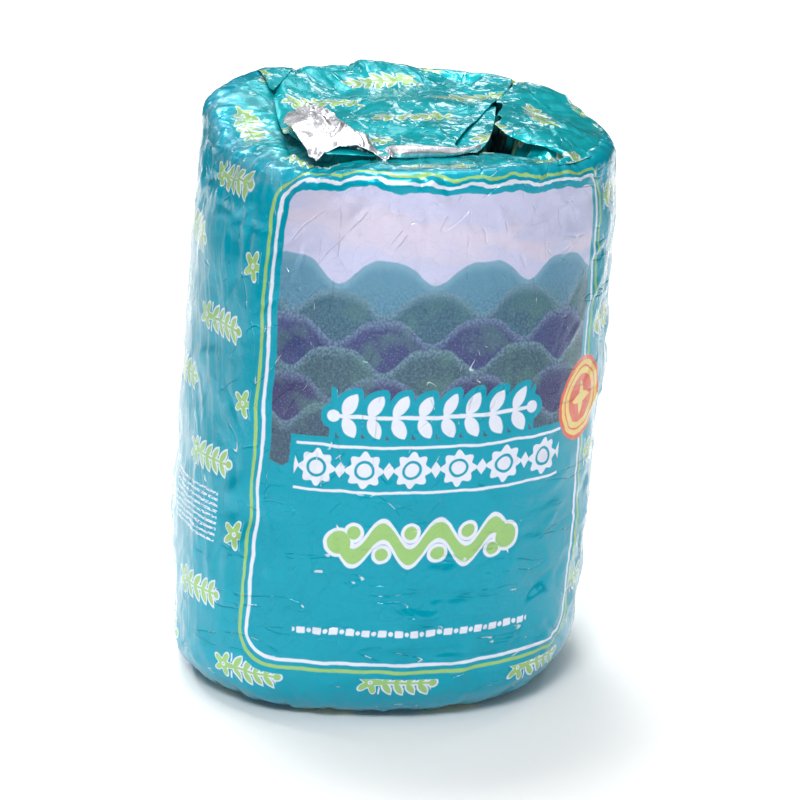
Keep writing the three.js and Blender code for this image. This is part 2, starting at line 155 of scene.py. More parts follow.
@dataclass(frozen=True)
class WrappedShape:
    """The slumped and creased outside of the wrapped cheese, measured from its leaning axis."""

    top_height: float = 179.0
    base_radius: float = 68.3
    middle_radius: float = 68.6
    top_radius: float = 65.3
    base_rounding: float = 17.0
    rim_rounding: float = 4.2
    lean: Pair = (11.7, -3.1)
    square_at_base: float = 0.032
    square_at_top: float = -0.01
    square_turn: float = -0.257
    ripples: Pair = (0.3, 0.2)  # height of the five broad and the nine narrow ones
    rim_heights: Pairs = (
        (-180, 184.6), (-160, 185.4), (-141, 188.8), (-130, 187.6), (-120, 186.2), (-106, 184.2),
        (-94, 181.4), (-80, 179.8), (-56, 178.2), (-34, 178.7), (14, 178.9), (42, 176.8),
        (62, 176.6), (80, 176.2), (98, 177.2), (107, 179.2), (112, 181.6), (122, 182.8),
        (137, 183.6), (180, 184.6),
    )
    pinches: tuple[Pinch, ...] = (
        Pinch(-57, 138, 9, 60, 1.5),
        Pinch(-104, 150, 11, 45, 1.3),
        Pinch(55, 130, 8, 60, 1.2),
        Pinch(76, 178, 34, 24, -1.6),
        Pinch(72, 118, 14, 9, 1.3),
        Pinch(70, 102, 17, 14, 1.4),
        Pinch(60, 58, 18, 12, 0.9),
        Pinch(78, 30, 16, 12, 1.6),
        Pinch(-104, 20, 42, 26, -1.7),
        Pinch(-104, 54, 26, 20, 1.3),
        Pinch(-122, 184, 24, 44, 1.6),
        Pinch(150, 118, 9, 80, 1.2),
        Pinch(-150, 92, 9, 70, 1.2),
    )

    def rim_height(self, angle: Array) -> Array:
        """Returns the height of the folded rim at an angle in radians."""
        return along(self.rim_heights, np.degrees(wrap_angle(angle)))

    def wall_radius(self, angle: Array, z: Array) -> Array:
        """Finds the wall's distance from the leaning axis.

        Args:
            angle: Direction in radians.
            z: Height on the unslumped wall.

        Returns:
            The radius there.
        """
        t = clamp(z / self.top_height)
        profile = self.base_radius * (1 - t) * (1 - 2 * t)
        profile = profile + self.middle_radius * 4 * t * (1 - t) + self.top_radius * t * (2 * t - 1)
        flats = mix(self.square_at_base, self.square_at_top, t)
        profile = profile * (1 - flats * np.cos(4 * (angle - self.square_turn)))
        broad, narrow = self.ripples
        out = broad * np.cos(5 * angle + 0.03 * z) + narrow * np.cos(9 * angle - 0.05 * z + 1.3) - broad
        for pinch in self.pinches:
            turn = wrap_angle(angle - math.radians(pinch.angle))
            across = ridge(turn, math.radians(pinch.half_angle))
            out = out + pinch.out * across * smooth(0, 1, ridge(z - pinch.z, pinch.half_height))
        return profile + out * smooth(0, 30, z)

    def from_axis(self, x: Array, y: Array, z: Array) -> Array:
        """Returns places given from the leaning axis in the part's frame."""
        share = z / self.top_height
        return np.stack([x + self.lean[0] * share, y + self.lean[1] * share, z], axis=-1)


@dataclass(frozen=True)
class FlapShape:
    """The back flap: where it leaves the rim, its free edges in plan and the height of its face."""

    shape: WrappedShape
    leaves: Pair = (133, 218)  # the angles between which it leaves the rim
    inset: float = 2.4
    middle_height: float = 181.2
    crown: float = 1.5
    waves: float = 0.5
    sheet_at: Pair = (215, 245)  # the place on the flat sheet that lies over the axis
    left: Pairs = ((-40, 33), (-41, 20), (-43, 0), (-43.5, -12), (-41.5, -24), (-37, -36))
    front: Pairs = ((-37, -36), (-22, -39), (-6, -40.5), (10, -38))
    right: Pairs = ((10, -38), (17, -27), (24, -9), (29.3, 7.5), (38, 23))
    pleat: Pairs = ((10, -38), (4, -34), (15.5, -13), (28, 8), (38, 23))
    back_heights: Pairs = (
        (133, 185.4), (139, 185.6), (144, 182.8), (152, 183.2), (160, 185.2), (170, 188),
        (184.5, 190.2), (188, 187), (196, 187.2), (199, 189), (205, 189.4), (210, 188.2),
        (218, 189.2),
    )

    def back(self, where: Array) -> Array:
        """Returns places of the flap's back edge on the rim, by the angle in degrees."""
        angle = np.radians(where)
        reach = self.shape.wall_radius(angle, self.shape.top_height) - self.inset
        return np.stack([reach * np.sin(angle), -reach * np.cos(angle)], axis=-1)

    def on_sheet(self, x: Array, y: Array) -> tuple[Array, Array]:
        """Returns where points of the flap lie on the flat sheet."""
        return self.sheet_at[0] - x, self.sheet_at[1] - y

    def free_edge(self) -> Array:
        """Returns the line of the free edges in plan, from the left end of the back to the right."""
        ends = self.back(np.array([self.leaves[1], self.leaves[0]], float))
        return np.vstack([ends[:1], self.left, self.front[1:], self.right[1:], ends[1:]])

    def inside(self, x: Array, y: Array) -> Array:
        """Returns how far inside the flap points are, negative outside it."""
        edge = self.free_edge()
        outline = np.vstack([edge, [[60, 70], [0, 90], [-60, 80]]])
        return distance_to(edge, x, y) * np.where(is_inside(outline, x, y), 1, -1)

    def height(self, x: Array, y: Array) -> Array:
        """Finds the height of the flap's face.

        Args:
            x: Place from the leaning axis.
            y: Place from the leaning axis.

        Returns:
            The height, which falls towards the front.
        """
        reach = np.hypot(x, y)
        where = np.degrees(np.arctan2(x, -y)) % 360
        crown = self.crown * (1 - smooth(10, 52, reach))
        waves = self.waves * np.sin(x / 7 + y / 11) * np.sin(y / 8 - x / 19)
        low = self.middle_height + 0.05 * y + crown + waves
        at_back = smooth(34, 58, reach) * smooth(0, 24, y)
        return mix(low, along(self.back_heights, where), at_back)


@dataclass(frozen=True)
class SideFoldShape:
    """The right-hand side fold, given round a centre of its own; its lip leaves a dark pocket."""

    shape: WrappedShape
    centre: Pair = (0, -30)
    spans: Pair = (53, 144)
    swell: Pair = (1.3, 0.4)  # height of the arch and of the waves across it
    sheet_at: Pair = (122, 245)  # the place on the flat sheet that lies over the axis
    lip_reach: Pairs = (
        (53, 66), (60, 50), (66, 38.5), (70, 34), (76, 26.6), (88, 21), (104, 19.6), (125, 29),
        (141, 46), (149, 84),
    )
    lip_heights: Pairs = (
        (53, 174.6), (62, 177), (70, 179), (76, 180.2), (88, 182.4), (104, 183.8), (141, 183.6),
        (149, 184.6),
    )

    def polar(self, x: Array, y: Array) -> tuple[Array, Array]:
        """Returns the angle in degrees and the distance of points from the fold's centre."""
        dx, dy = x - self.centre[0], y - self.centre[1]
        return np.degrees(np.arctan2(dx, -dy)), np.hypot(dx, dy)

    def on_sheet(self, x: Array, y: Array) -> tuple[Array, Array]:
        """Returns where points of the fold lie on the flat sheet, which is turned there."""
        return self.sheet_at[0] + y, self.sheet_at[1] - x

    def rim(self, where: Array) -> Array:
        """Returns how far out the edge of the rim is from the fold's centre."""
        way_x, way_y = np.sin(np.radians(where)), -np.cos(np.radians(where))
        ahead = self.centre[0] * way_x + self.centre[1] * way_y
        reach = self.shape.top_radius - self.shape.rim_rounding
        return -ahead + np.sqrt(ahead**2 + reach**2 - self.centre[0] ** 2 - self.centre[1] ** 2)

    def height(self, x: Array, y: Array) -> Array:
        """Returns the height of the fold's face, from the rim to its lip."""
        where, reach = self.polar(x, y)
        rim = self.rim(where)
        inward = clamp((rim - reach) / np.maximum(3, rim - along(self.lip_reach, where)))
        swell = self.swell[0] * np.sin(np.pi * inward)
        swell = swell + self.swell[1] * np.sin(x / 4 - y / 6) * inward
        at_rim = self.shape.rim_height(np.arctan2(x, -y)) - 0.3
        return mix(at_rim, along(self.lip_heights, where), inward) + swell

    def inside(self, x: Array, y: Array) -> Array:
        """Returns how far outwards of the lip points are, negative where the fold doesn't reach."""
        where, reach = self.polar(x, y)
        beyond = (where < self.spans[0] - 3) | (where > self.spans[1] + 2)
        return np.where(beyond, -20, reach - along(self.lip_reach, where))


def distance_to(line: Array, x: Array, y: Array) -> Array:
    """Finds the distance from points to a line of points, in plan.

    Args:
        line: The line's points.
        x: Places.
        y: Places.

    Returns:
        The distances.
    """
    least = np.full(np.shape(x), np.inf)
    for start, end in zip(line[:-1], line[1:]):
        dx, dy = end - start
        share = clamp(((x - start[0]) * dx + (y - start[1]) * dy) / (dx * dx + dy * dy))
        least = np.minimum(least, np.hypot(x - start[0] - share * dx, y - start[1] - share * dy))
    return least


def is_inside(outline: Array, x: Array, y: Array) -> Array:
    """Tells which points are inside a closed outline, in plan.

    Args:
        outline: The outline's points.
        x: Places.
        y: Places.

    Returns:
        True for each point inside.
    """
    inside = np.zeros(np.shape(x), bool)
    for (xi, yi), (xj, yj) in zip(outline, np.roll(outline, 1, axis=0)):
        if yi != yj:
            crosses = (yi > y) != (yj > y)
            inside ^= crosses & (x < (xj - xi) * (y - yi) / (yj - yi) + xi)
    return inside


@dataclass(frozen=True)
class CreaseZone:
    """A kind of crease: how many, where on the sheet, which way they run and how big they are."""

    count: int
    across: Pair
    up: Pair
    turn: float
    spread: float
    half_length: Pair
    half_width: Pair
    height: Pair
    inward: float = 0.5  # share of the creases that are pressed in


class Creases:
    """Sharp creases drawn from a fixed seed, as relief over a sheet of foil."""

    def __init__(self, seed: int, zones: tuple[CreaseZone, ...]) -> None:
        """Draws the creases of every zone."""
        self.lines: list[tuple[float, ...]] = []
        draw = np.random.default_rng(seed).uniform
        for zone in zones:
            for _ in range(zone.count):
                turn = zone.turn + zone.spread * draw(-1, 1)
                height = draw(*zone.height) * (-1 if draw() < zone.inward else 1)
                length = draw(*zone.half_length)
                bend = draw(-0.25, 0.25) / length
                place = (draw(*zone.across), draw(*zone.up), math.radians(turn))
                self.lines.append((*place, length, draw(*zone.half_width), height, bend))

    def relief(self, s: Array, t: Array) -> Array:
        """Adds up the creases over a sheet.

        Args:
            s: Place round the cheese, in millimetres of foil.
            t: Place up the sheet.

        Returns:
            How far out the creases lift each point.
        """
        out = np.zeros(s.shape)
        for at_s, at_t, turn, length, width, height, bend in self.lines:
            span = length + width
            near = (np.abs(s - at_s) < span) & (np.abs(t - at_t) < span)
            ds, dt = s[near] - at_s, t[near] - at_t
            forward = ds * math.cos(turn) + dt * math.sin(turn)
            across = dt * math.cos(turn) - ds * math.sin(turn) + bend * forward**2
            ends = smooth(0, 1, clamp(1 - np.abs(forward) / length))
            out[near] += height * ridge(across, width) * ends
        return out


def facet_relief(s: Array, t: Array, size: float, seed: int) -> Array:
    """Makes flat three-sided facets with sharp edges, as crushed foil has.

    Args:
        s: Place round the cheese, in millimetres of foil.
        t: Place up the sheet.
        size: How wide the facets are.
        seed: Which facets.

    Returns:
        Relief between -1 and 1.
    """
    random = np.random.default_rng(seed)
    turn, shift = random.uniform(0, math.pi), random.uniform(0, 9, 4)
    bent_s = s + 0.32 * size * np.sin(t / (0.83 * size) + shift[0]) * np.cos(s / (1.9 * size))
    bent_t = t + 0.32 * size * np.sin(s / (0.71 * size) + shift[1]) * np.cos(t / (1.7 * size))
    x = (bent_s * math.cos(turn) + bent_t * math.sin(turn)) / size + 64
    y = (bent_t * math.cos(turn) - bent_s * math.sin(turn)) / size + 64
    corner = random.uniform(-1, 1, (256, 256))
    slant = random.uniform(0, 1, (256, 256)) < 0.5
    i, j = np.floor(x).astype(int) % 255, np.floor(y).astype(int) % 255
    f, g = x - np.floor(x), y - np.floor(y)
    a, b, c, d = corner[i, j], corner[i + 1, j], corner[i, j + 1], corner[i + 1, j + 1]
    rising = np.where(f > g, a + (b - a) * f + (d - b) * g, a + (d - c) * f + (c - a) * g)
    near = a + (b - a) * f + (c - a) * g
    far = d + (c - d) * (1 - f) + (b - d) * (1 - g)
    return np.where(slant[i, j], rising, np.where(f + g < 1, near, far))


def crushed(s: Array, t: Array, facets: Facets) -> Array:
    """Returns the summed relief of several kinds of facets."""
    return sum(height * facet_relief(s, t, width, seed) for width, height, seed in facets)


def push_out(points: Array, out: Array, closed: bool = False) -> Array:
    """Moves the points of a grid along its normals.

    Args:
        points: Places, by row and column.
        out: How far out each moves.
        closed: Whether the last column meets the first.

    Returns:
        The moved places.
    """
    if closed:
        across = np.roll(points, -1, axis=1) - np.roll(points, 1, axis=1)
    else:
        across = np.gradient(points, axis=1)
    normal = np.cross(across, np.gradient(points, axis=0))
    size = np.linalg.norm(normal, axis=-1, keepdims=True)
    normal = np.where(size > 1e-9, normal / np.maximum(size, 1e-9), 0)
    return points + normal * out[..., None]


@dataclass(frozen=True)
class FoilGrid:
    """A sheet of foil as rows and columns of points, before it is a mesh."""

    points: Array
    s: Array
    t: Array
    crumple: Array
    girth: Array | None = None  # of each row, where the last column meets the first

    def build(self, name: str) -> Object:
        """Makes the mesh, its UV map in metres of flat foil and its crumple attribute.

        Args:
            name: The piece's name.

        Returns:
            The new object.
        """
        rows, columns = self.points.shape[:2]
        places, crumple = self.points.reshape(-1, 3), self.crumple.reshape(-1)
        index = np.arange(rows * columns).reshape(rows, columns)
        s, t = self.s, self.t
        if self.girth is not None:
            index = np.hstack([index, index[:, :1]])
            index[0], index[-1] = 0, rows * columns - 1
            s = np.hstack([s, s[:, :1] + self.girth])
            t = np.hstack([t, t[:, :1]])
        corners = [(0, 0), (0, 1), (1, 1), (1, 0)]
        height, width = index.shape[0] - 1, index.shape[1] - 1

        def cut(values: Array) -> Array:
            """Returns the four corners of every face."""
            return np.stack([values[i : i + height, j : j + width] for i, j in corners], -1)

        loops = cut(index).reshape(-1, 4)
        uv = np.stack([cut(s), cut(t)], -1).reshape(-1, 4, 2) * MM
        keep = loops != np.roll(loops, 1, axis=1)
        used, placed = np.unique(loops, return_inverse=True)
        faces = [row[kept].tolist() for row, kept in zip(placed.reshape(-1, 4), keep)]
        mesh = bpy.data.meshes.new(name)
        mesh.from_pydata((places[used] * MM).tolist(), [], faces)
        layer = mesh.uv_layers.new(name=UV_NAME)
        layer.data.foreach_set("uv", uv[keep].astype(np.float32).ravel())
        mesh.attributes.new(FOLDING, "FLOAT", "POINT").data.foreach_set("value", crumple[used])
        mesh.shade_smooth()
        return put_in_scene(name, mesh)


def srgb(code: str) -> tuple[float, float, float, float]:
    """Returns a hex colour as linear light."""
    parts = [int(code[i : i + 2], 16) / 255 for i in (1, 3, 5)]
    light = [c / 12.92 if c <= 0.04045 else ((c + 0.055) / 1.055) ** 2.4 for c in parts]
    return (*light, 1.0)


def add_node(
    tree: NodeTree,
    kind: str,
    inputs: dict[Any, Any] | tuple[Any, ...] = (),
    output: int | str = 0,
    **settings: Any,
) -> "Field":
    """Adds a node with its settings and links.

    Args:
        tree: The tree it goes into.
        kind: The node's type.
        inputs: Values or fields, in order or by socket.
        output: The output that is wanted.
        **settings: The node's properties.

    Returns:
        That output.
    """
    node = tree.nodes.new(kind)
    for name, value in settings.items():
        setattr(node, name, value)
    for key, value in inputs.items() if isinstance(inputs, dict) else enumerate(inputs):
        if isinstance(value, Field):
            tree.links.new(value.socket, node.inputs[key])
        else:
            node.inputs[key].default_value = value
    return Field(tree, node.outputs[output] if len(node.outputs) else None)


class Field:
    """A value that varies over a surface; plain arithmetic joins fields with Math nodes."""

    def __init__(self, tree: NodeTree, socket: NodeSocket | None) -> None:
        """Holds one output of a node."""
        self.tree = tree
        self.socket = socket

    def do(self, operation: str, *others: "Field | float", clamped: bool = False) -> "Field":
        """Returns this field joined with others by one Math operation."""
        settings = {"operation": operation, "use_clamp": clamped}
        return add_node(self.tree, "ShaderNodeMath", (self, *others), **settings)

    __add__ = partialmethod(do, "ADD")
    __sub__ = partialmethod(do, "SUBTRACT")
    __mul__ = partialmethod(do, "MULTIPLY")
    __truediv__ = partialmethod(do, "DIVIDE")
    __neg__ = partialmethod(do, "MULTIPLY", -1.0)
    __abs__ = partialmethod(do, "ABSOLUTE")
    # The smaller joins two shapes, the larger keeps what they share.
    least = partialmethod(do, "MINIMUM")
    most = partialmethod(do, "MAXIMUM")

    def other(self, output: int | str) -> "Field":
        """Returns another output of the same node."""
        return Field(self.tree, self.socket.node.outputs[output])

    def times(self, factor: float, extra: float, clamped: bool = False) -> "Field":
        """Returns this field times a factor, plus something."""
        return self.do("MULTIPLY_ADD", factor, extra, clamped=clamped)

    def wave(self, length: float, shift: float = 0.0) -> "Field":
        """Returns a sine wave of this field, one every so many millimetres."""
        return self.times(2 * math.pi / length, shift).do("SINE")

    def repeat(self, length: float) -> "Field":
        """Returns this field wrapped into one repeat, centred on 0."""
        return self.do("WRAP", length / 2, -length / 2)

    def ramp(self, start: float, end: float) -> "Field":
        """Returns a smooth step of this field from 0 at start to 1 at end."""
        inputs = (self, start, end, 0.0, 1.0)
        return add_node(self.tree, "ShaderNodeMapRange", inputs, interpolation_type="SMOOTHSTEP")


@dataclass(frozen=True)
class PrintLayout:
    """Where the print lies on the flat sheet and how big it is, from the label's foot at the front.

    A pitch is the length of one repeat, a half is half of a whole row or block.
    """

    label_middle: float = -2.5
    label_foot: float = 18.7
    label_head: float = 177.8
    label_half: float = 59.8
    corner: float = 10.5
    line: float = 0.6  # half a line's width
    white_inset: float = 2.6
    picture_inset: float = 5.4
    picture_foot: float = 83.0
    scallop_head: float = 149.0
    scallop_step: float = 9.0  # from one row of scallops down to the next
    scallop_pitch: float = 30.0
    scallop_swing: float = 3.6
    laurel_at: Pair = (-4.0, 103.0)
    laurel_pitch: float = 7.8
    laurel_half: float = 31.2
    laurel_leaf: Pair = (3.9, 2.1)  # half its length and width, as for every leaf
    rosettes_at: Pair = (-3.0, 86.0)
    rosette_pitch: float = 15.0
    rosette_radius: float = 5.3
    rosettes_half: Pair = (45.0, 7.3)
    rosette_line: float = 0.45
    row_shade: float = 2.1  # how far the plain ground reaches round both rows
    scroll_at: Pair = (-4.5, 62.0)
    scroll_pitch: float = 18.0
    scroll_swing: float = 4.2
    scroll_half: float = 27.0
    scroll_stem: float = 1.9
    bead_radius: float = 2.1
    dashes_at: Pair = (-5.0, 32.0)
    dash_pitch: float = 5.2
    dashes_half: float = 39.0
    rules_at: Pair = (-92.0, 62.0)
    rules_half: Pair = (15.5, 8.55)
    rule_pitch: float = 1.9
    rule_line: float = 0.42
    seal_at: Pair = (54.0, 100.5)
    seal_radius: float = 13.6
    seal_rings: tuple[float, ...] = (1.5, 3.4, 5.6)  # insets of the disc, the fine ring and the heart
    seal_leaf: Pair = (6.0, 1.7)
    sprig_at: Pair = (-59.0, 15.0)
    sprig_repeat: Pair = (50.0, 43.5)
    sprig_flower: Pair = (-8.6, 3.1)  # its place along the sprig and its radius
    sprig_leaf: Pair = (2.7, 1.0)
    sprig_pitch: float = 3.9


@dataclass(frozen=True)
class InkColours:
    """The inks of the print as they look on the foil, with the painted sheen, glints and shade."""

    teal: str = "#009eb7"
    deep_teal: str = "#0098af"
    # painted light: the top is a lighter, greener teal for the light that falls on it from above
    lit_top_teal: str = "#00abb4"
    # painted reflection: the pale sheen laid on both sides and the left shoulder
    pale_sheen: str = "#a9c6d0"
    # painted glints along the creases, also standing for ink cracked to the metal
    glint_and_crack: str = "#dcebf0"
    # painted shade deep in the gaps under the free edges
    gap: str = "#0f2329"
    lime: str = "#9cc87a"
    white: str = "#e3e8f6"
    sky: str = "#c9cbe9"
    blush: str = "#dad0e4"
    haze: str = "#adc2e4"
    mist: str = "#9cc4dc"
    dusk: str = "#3b4669"
    moss: str = "#5d8a80"
    red: str = "#e4694f"
    yellow: str = "#f0d37c"
    scallops: tuple[str, ...] = ("#6395b0", "#4a7486", "#4a5284", "#4f707a", "#4a4876", "#4c6776")


class SheetPrint:
    """Draws the wrapper's generic print as fields of colour over the flat sheet, with painted sheen,
    glints and shade.
    """

    def __init__(self, tree: NodeTree, ink: InkColours, layout: PrintLayout) -> None:
        """Reads the sheet's coordinates in millimetres and lets folds shift the print a little."""
        self.tree, self.ink, self.layout = tree, ink, layout
        sheet = self.node("UVMap", uv_map=UV_NAME)
        self.place = self.node("VectorMath", {0: sheet, "Scale": 1 / MM}, operation="SCALE")
        u = self.node("SeparateXYZ", (self.place,))
        v = u.other(1)
        slip = self.node("SeparateXYZ", (self.noise(self.place, 14.0, detail=3.0, output=1),))
        folded = v.ramp(158, 180)
        skewed = (u - layout.label_middle).least(70.0).most(-70.0) * v.ramp(140, 178) * 0.045
        self.u = u + (slip - 0.5) * (folded * 3.0 + 1.6)
        self.v = v + (slip.other(1) - 0.5) * (folded * 6.0 + 1.6) + skewed + v.ramp(180, 190) * 2.5
        self.colour: Any = srgb(ink.teal)
        self.depth = self.creased()

    def node(self, kind: str, inputs: Any = (), output: int | str = 0, **settings: Any) -> Field:
        """Returns an output of a new shader node in the material's tree."""
        return add_node(self.tree, "ShaderNode" + kind, inputs, output, **settings)

    def at(self, u: Field, v: Field) -> Field:
        """Returns a place on the sheet, made of its two coordinates."""
        return self.node("CombineXYZ", (u, v))

    def around(self, middle: Pair) -> tuple[Field, Field]:
        """Returns the coordinates measured from a place on the sheet."""
        return self.u - middle[0], self.v - middle[1]

    def noise(self, place: Field, size: float, output: int = 0, detail: float = 2.0) -> Field:
        """Returns smooth noise with features of about so many millimetres."""
        inputs = {"Vector": place, "Scale": 1 / size, "Detail": detail}
        return self.node("TexNoise", inputs, output, noise_dimensions="2D", normalize=True)

    def paint(self, mask: Field, colour: str | Field) -> None:
        """Lays a colour over the print where the mask is 1."""
        top = srgb(colour) if isinstance(colour, str) else colour
        self.colour = self.node("Mix", {0: mask, 6: self.colour, 7: top}, 2, data_type="RGBA")

    def stamp(self, distance: Field, colour: str) -> None:
        """Lays a colour over the print inside a shape."""
        self.paint(self.inked(distance), colour)

    def inked(self, distance: Field, edge: float = 0.14) -> Field:
        """Returns 1 inside a shape given by the distance to its outline, 0 outside it."""
        return distance.times(-0.5 / edge, 0.5, clamped=True)

    def band(self, distance: Field, half_width: float) -> Field:
        """Returns the distance to a line that follows an outline."""
        return abs(distance) - half_width

    def reach(self, u: Field, v: Field) -> Field:
        """Returns the distance to where both coordinates are 0."""
        return (u * u + v * v).do("SQRT")

    def disc(self, u: Field, v: Field, radius: float) -> Field:
        """Returns the distance to a disc."""
        return self.reach(u, v) - radius

    def bloom(self, u: Field, v: Field, petals: float, radius: float, swing: float) -> Field:
        """Returns the distance to a flower with so many petals."""
        return self.reach(u, v) - ((v.do("ARCTAN2", u) * petals).do("COSINE") * swing + radius)

    def leaf(self, u: Field, v: Field, half: Pair, lean: float = 0.0) -> Field:
        """Returns the distance to a pointed leaf that stands along v or leans by so many degrees."""
        if lean:
            c, s = math.cos(math.radians(lean)), math.sin(math.radians(lean))
            u, v = u * c - v * s, v * c + u * s
        radius = (half[0] ** 2 + half[1] ** 2) / (2 * half[1])
        return self.disc(abs(u) + (radius - half[1]), v, radius)

    def box(self, u: Field, v: Field, half: Pair, corner: float) -> Field:
        """Returns the distance to a rectangle with rounded corners."""
        du, dv = abs(u) - (half[0] - corner), abs(v) - (half[1] - corner)
        outside = self.disc(du.most(0.0), dv.most(0.0), corner)
        return outside + du.most(dv).least(0.0)

    def tilted(self, size: float, place: Field | None = None) -> Field:
        """Returns the height in millimetres of small flat facets that each lean their own way."""
        place = place or self.place
        cell = self.node("TexVoronoi", {"Vector": place, "Scale": 1 / size}, 2, voronoi_dimensions="2D")
        away = self.node("VectorMath", (place, cell), operation="SUBTRACT")
        lean = self.node("VectorMath", (cell.other(1), (0.5, 0.5, 0.5)), operation="SUBTRACT")
        return self.node("VectorMath", (away, lean), 1, operation="DOT_PRODUCT")

    def crease_lines(self, across: Field, up: Field, size: float, width: float) -> Field:
        """Returns 1 along thin wandering creases and 0 away from them."""
        level = self.noise(self.at(across, up), size, detail=1.5)
        return abs((level * 3.0).repeat(1.0)).times(-1 / width, 1.0, clamped=True)

    def creased(self) -> Field:
        """Draws thin creases, which stand upright above and lie level near the foot and on the right.

        Returns:
            Their depth, from 0 to 1.
        """
        u, v = self.u, self.v
        come_and_go = self.noise(self.place, 22.0, detail=3.0)
        low = (v.ramp(90, 60) + u.ramp(22, 48)).least(1.0)
        level = self.crease_lines(u * 0.22, v, 9.0, 0.07) * low
        upright = self.crease_lines(u, v * 0.16, 15.0, 0.036) * v.ramp(40, 80)
        rising = self.crease_lines(u + v * 0.6, (v - u) * 0.25, 16.0, 0.034)
        falling = self.crease_lines(u - v * 0.9, (v + u) * 0.25, 20.0, 0.03)
        rare, common = come_and_go.ramp(0.5, 0.6), come_and_go.ramp(0.58, 0.46)
        slanting = (rising * rare + falling * common) * (low * -0.7 + 1.0)
        broken = self.noise(self.place, 8.0).ramp(0.43, 0.55)
        return (level * (common + rare).least(1.0) + upright * common + slanting) * broken

    def label_distance(self) -> Field:
        """Returns the distance to the outline of the label."""
        at = self.layout
        middle, half = (at.label_head + at.label_foot) / 2, (at.label_head - at.label_foot) / 2
        return self.box(*self.around((at.label_middle, middle)), (at.label_half, half), at.corner)

    def sprigs(self, label: Field) -> None:
        """Paints the repeated sprigs, a flower and a leafy stem, all over outside the label."""
        at, shapes = self.layout, None
        wide, high = at.sprig_repeat
        for k in (0, 0.5):
            u, v = self.around((at.sprig_at[0] + k * wide, at.sprig_at[1] + k * high))
            u, v = u.repeat(wide), v.repeat(high)
            ahead, radius = u - at.sprig_flower[0], at.sprig_flower[1]
            flower = self.bloom(ahead, v, 5.0, radius, 1.3).most(-self.disc(ahead, v, 0.8))
            cell, side = (u - 0.6).repeat(at.sprig_pitch), abs(v) - 2.0
            stem = self.leaf(cell, side, at.sprig_leaf, 34.8).least(abs(v) - 0.4)
            stem = stem.most(abs(u - 2.55) - 2 * at.sprig_pitch).least(self.disc(u - 11.2, v, 1.2))
            shape = flower.least(stem)
            shapes = shape if shapes is None else shapes.least(shape)
        outside = self.inked(-label + 2.5)
        self.paint(self.inked(shapes - 0.55) * outside, self.ink.white)
        self.paint(self.inked(shapes) * outside, self.ink.lime)

    def picture(self, label: Field) -> None:
        """Paints the label's picture field: soft bands above even rows of overlapping scallops."""
        ink, at, u, v = self.ink, self.layout, self.u, self.v
        before = self.colour
        streaks = self.noise(self.at(u * 0.35, v), 9.0, detail=3.0)
        self.colour = srgb(ink.sky)
        self.paint((v + u * 0.12 + streaks * 22).wave(27.0).ramp(-0.2, 1.0) * 0.75, ink.blush)
        self.paint(streaks.ramp(0.5, 0.75) * v.ramp(165, 138), ink.haze)
        grain = self.noise(self.place, 0.9, detail=4.0)
        patches = self.noise(self.place, 11.0, detail=5.0)
        for row, colour in enumerate(ink.scallops):
            edge = u.wave(at.scallop_pitch, math.pi * (row % 2)) * at.scallop_swing
            flat = u.wave(at.scallop_pitch / 2, math.pi / 2) * (at.scallop_swing / 4)
            level = at.scallop_head - row * at.scallop_step
            depth = edge + flat + level - v + (patches - 0.5) * 1.2
            self.paint(self.inked(-depth, 0.3), colour)
            self.paint(self.inked(-depth, 0.3) * depth.ramp(4.0, 0.0) * 0.38, ink.mist)
        scallops = v.ramp(150, 128)
        self.paint(grain.ramp(0.35, 0.65) * 0.62 * scallops, ink.dusk)
        self.paint(patches.ramp(0.5, 0.68) * scallops * 0.4, ink.moss)
        speckle = self.noise(self.place, 0.7, detail=3.0)
        self.paint(speckle.ramp(0.56, 0.7) * scallops * 0.16, ink.mist)
        torn = self.noise(self.place, 4.0, detail=4.0) * 5.0
        foot = torn + (u.ramp(-42, -38) * 9.5 + at.picture_foot)
        inside = self.inked(label + at.picture_inset) * self.inked(foot - v)
        picture, self.colour = self.colour, before
        self.paint(inside, picture)

    def title_rows(self) -> None:
        """Paints two rows of plain white ornament, a laurel above and a row of rosettes below."""
        at = self.layout
        u, v = self.around(at.laurel_at)
        half, pitch = at.laurel_half, at.laurel_pitch
        laurel = self.leaf((u + pitch / 2).repeat(pitch), abs(v) - 3.5, at.laurel_leaf, 30.0)
        laurel = laurel.least(abs(v) - 0.6).most(abs(u) - half)
        berries = self.disc(abs(u) - (half + 1.1), v, 2.0)
        u, v = self.around(at.rosettes_at)
        half, pitch = at.rosettes_half, at.rosette_pitch
        cell = (u + pitch / 2).repeat(pitch)
        rosette = self.bloom(cell, v, 8.0, at.rosette_radius, 0.7)
        rosette = rosette.most(-self.band(self.disc(cell, v, 2.7), at.rosette_line))
        lozenge = (abs(u.repeat(pitch)) * 1.5 + abs(v)) * 0.55 - 1.5
        border = self.band(abs(v) - half[1], at.rosette_line)
        lower = rosette.least(lozenge).least(border).most(abs(u) - half[0])
        rows = laurel.least(berries).least(lower)
        self.stamp(rows - at.row_shade, self.ink.teal)
        self.stamp(rows, self.ink.white)

    def scroll(self) -> None:
        """Paints the lime scroll with its white outline: a waving stem with a bead in each bend."""
        at = self.layout
        u, v = self.around(at.scroll_at)
        pitch, half = at.scroll_pitch, at.scroll_half
        stem = abs(v - u.wave(pitch) * at.scroll_swing) * 0.72 - at.scroll_stem
        side = u.repeat(pitch).do("SIGN")
        bead = self.disc((u - pitch / 4).repeat(pitch / 2), v + side * 3.4, at.bead_radius)
        ends = self.disc(abs(u) - half, v, 3.7)
        shape = stem.most(abs(u) - half).least(ends).least(bead.most(abs(u) - (half - 1.0)))
        self.stamp(shape - 1.1, self.ink.white)
        self.stamp(shape, self.ink.lime)

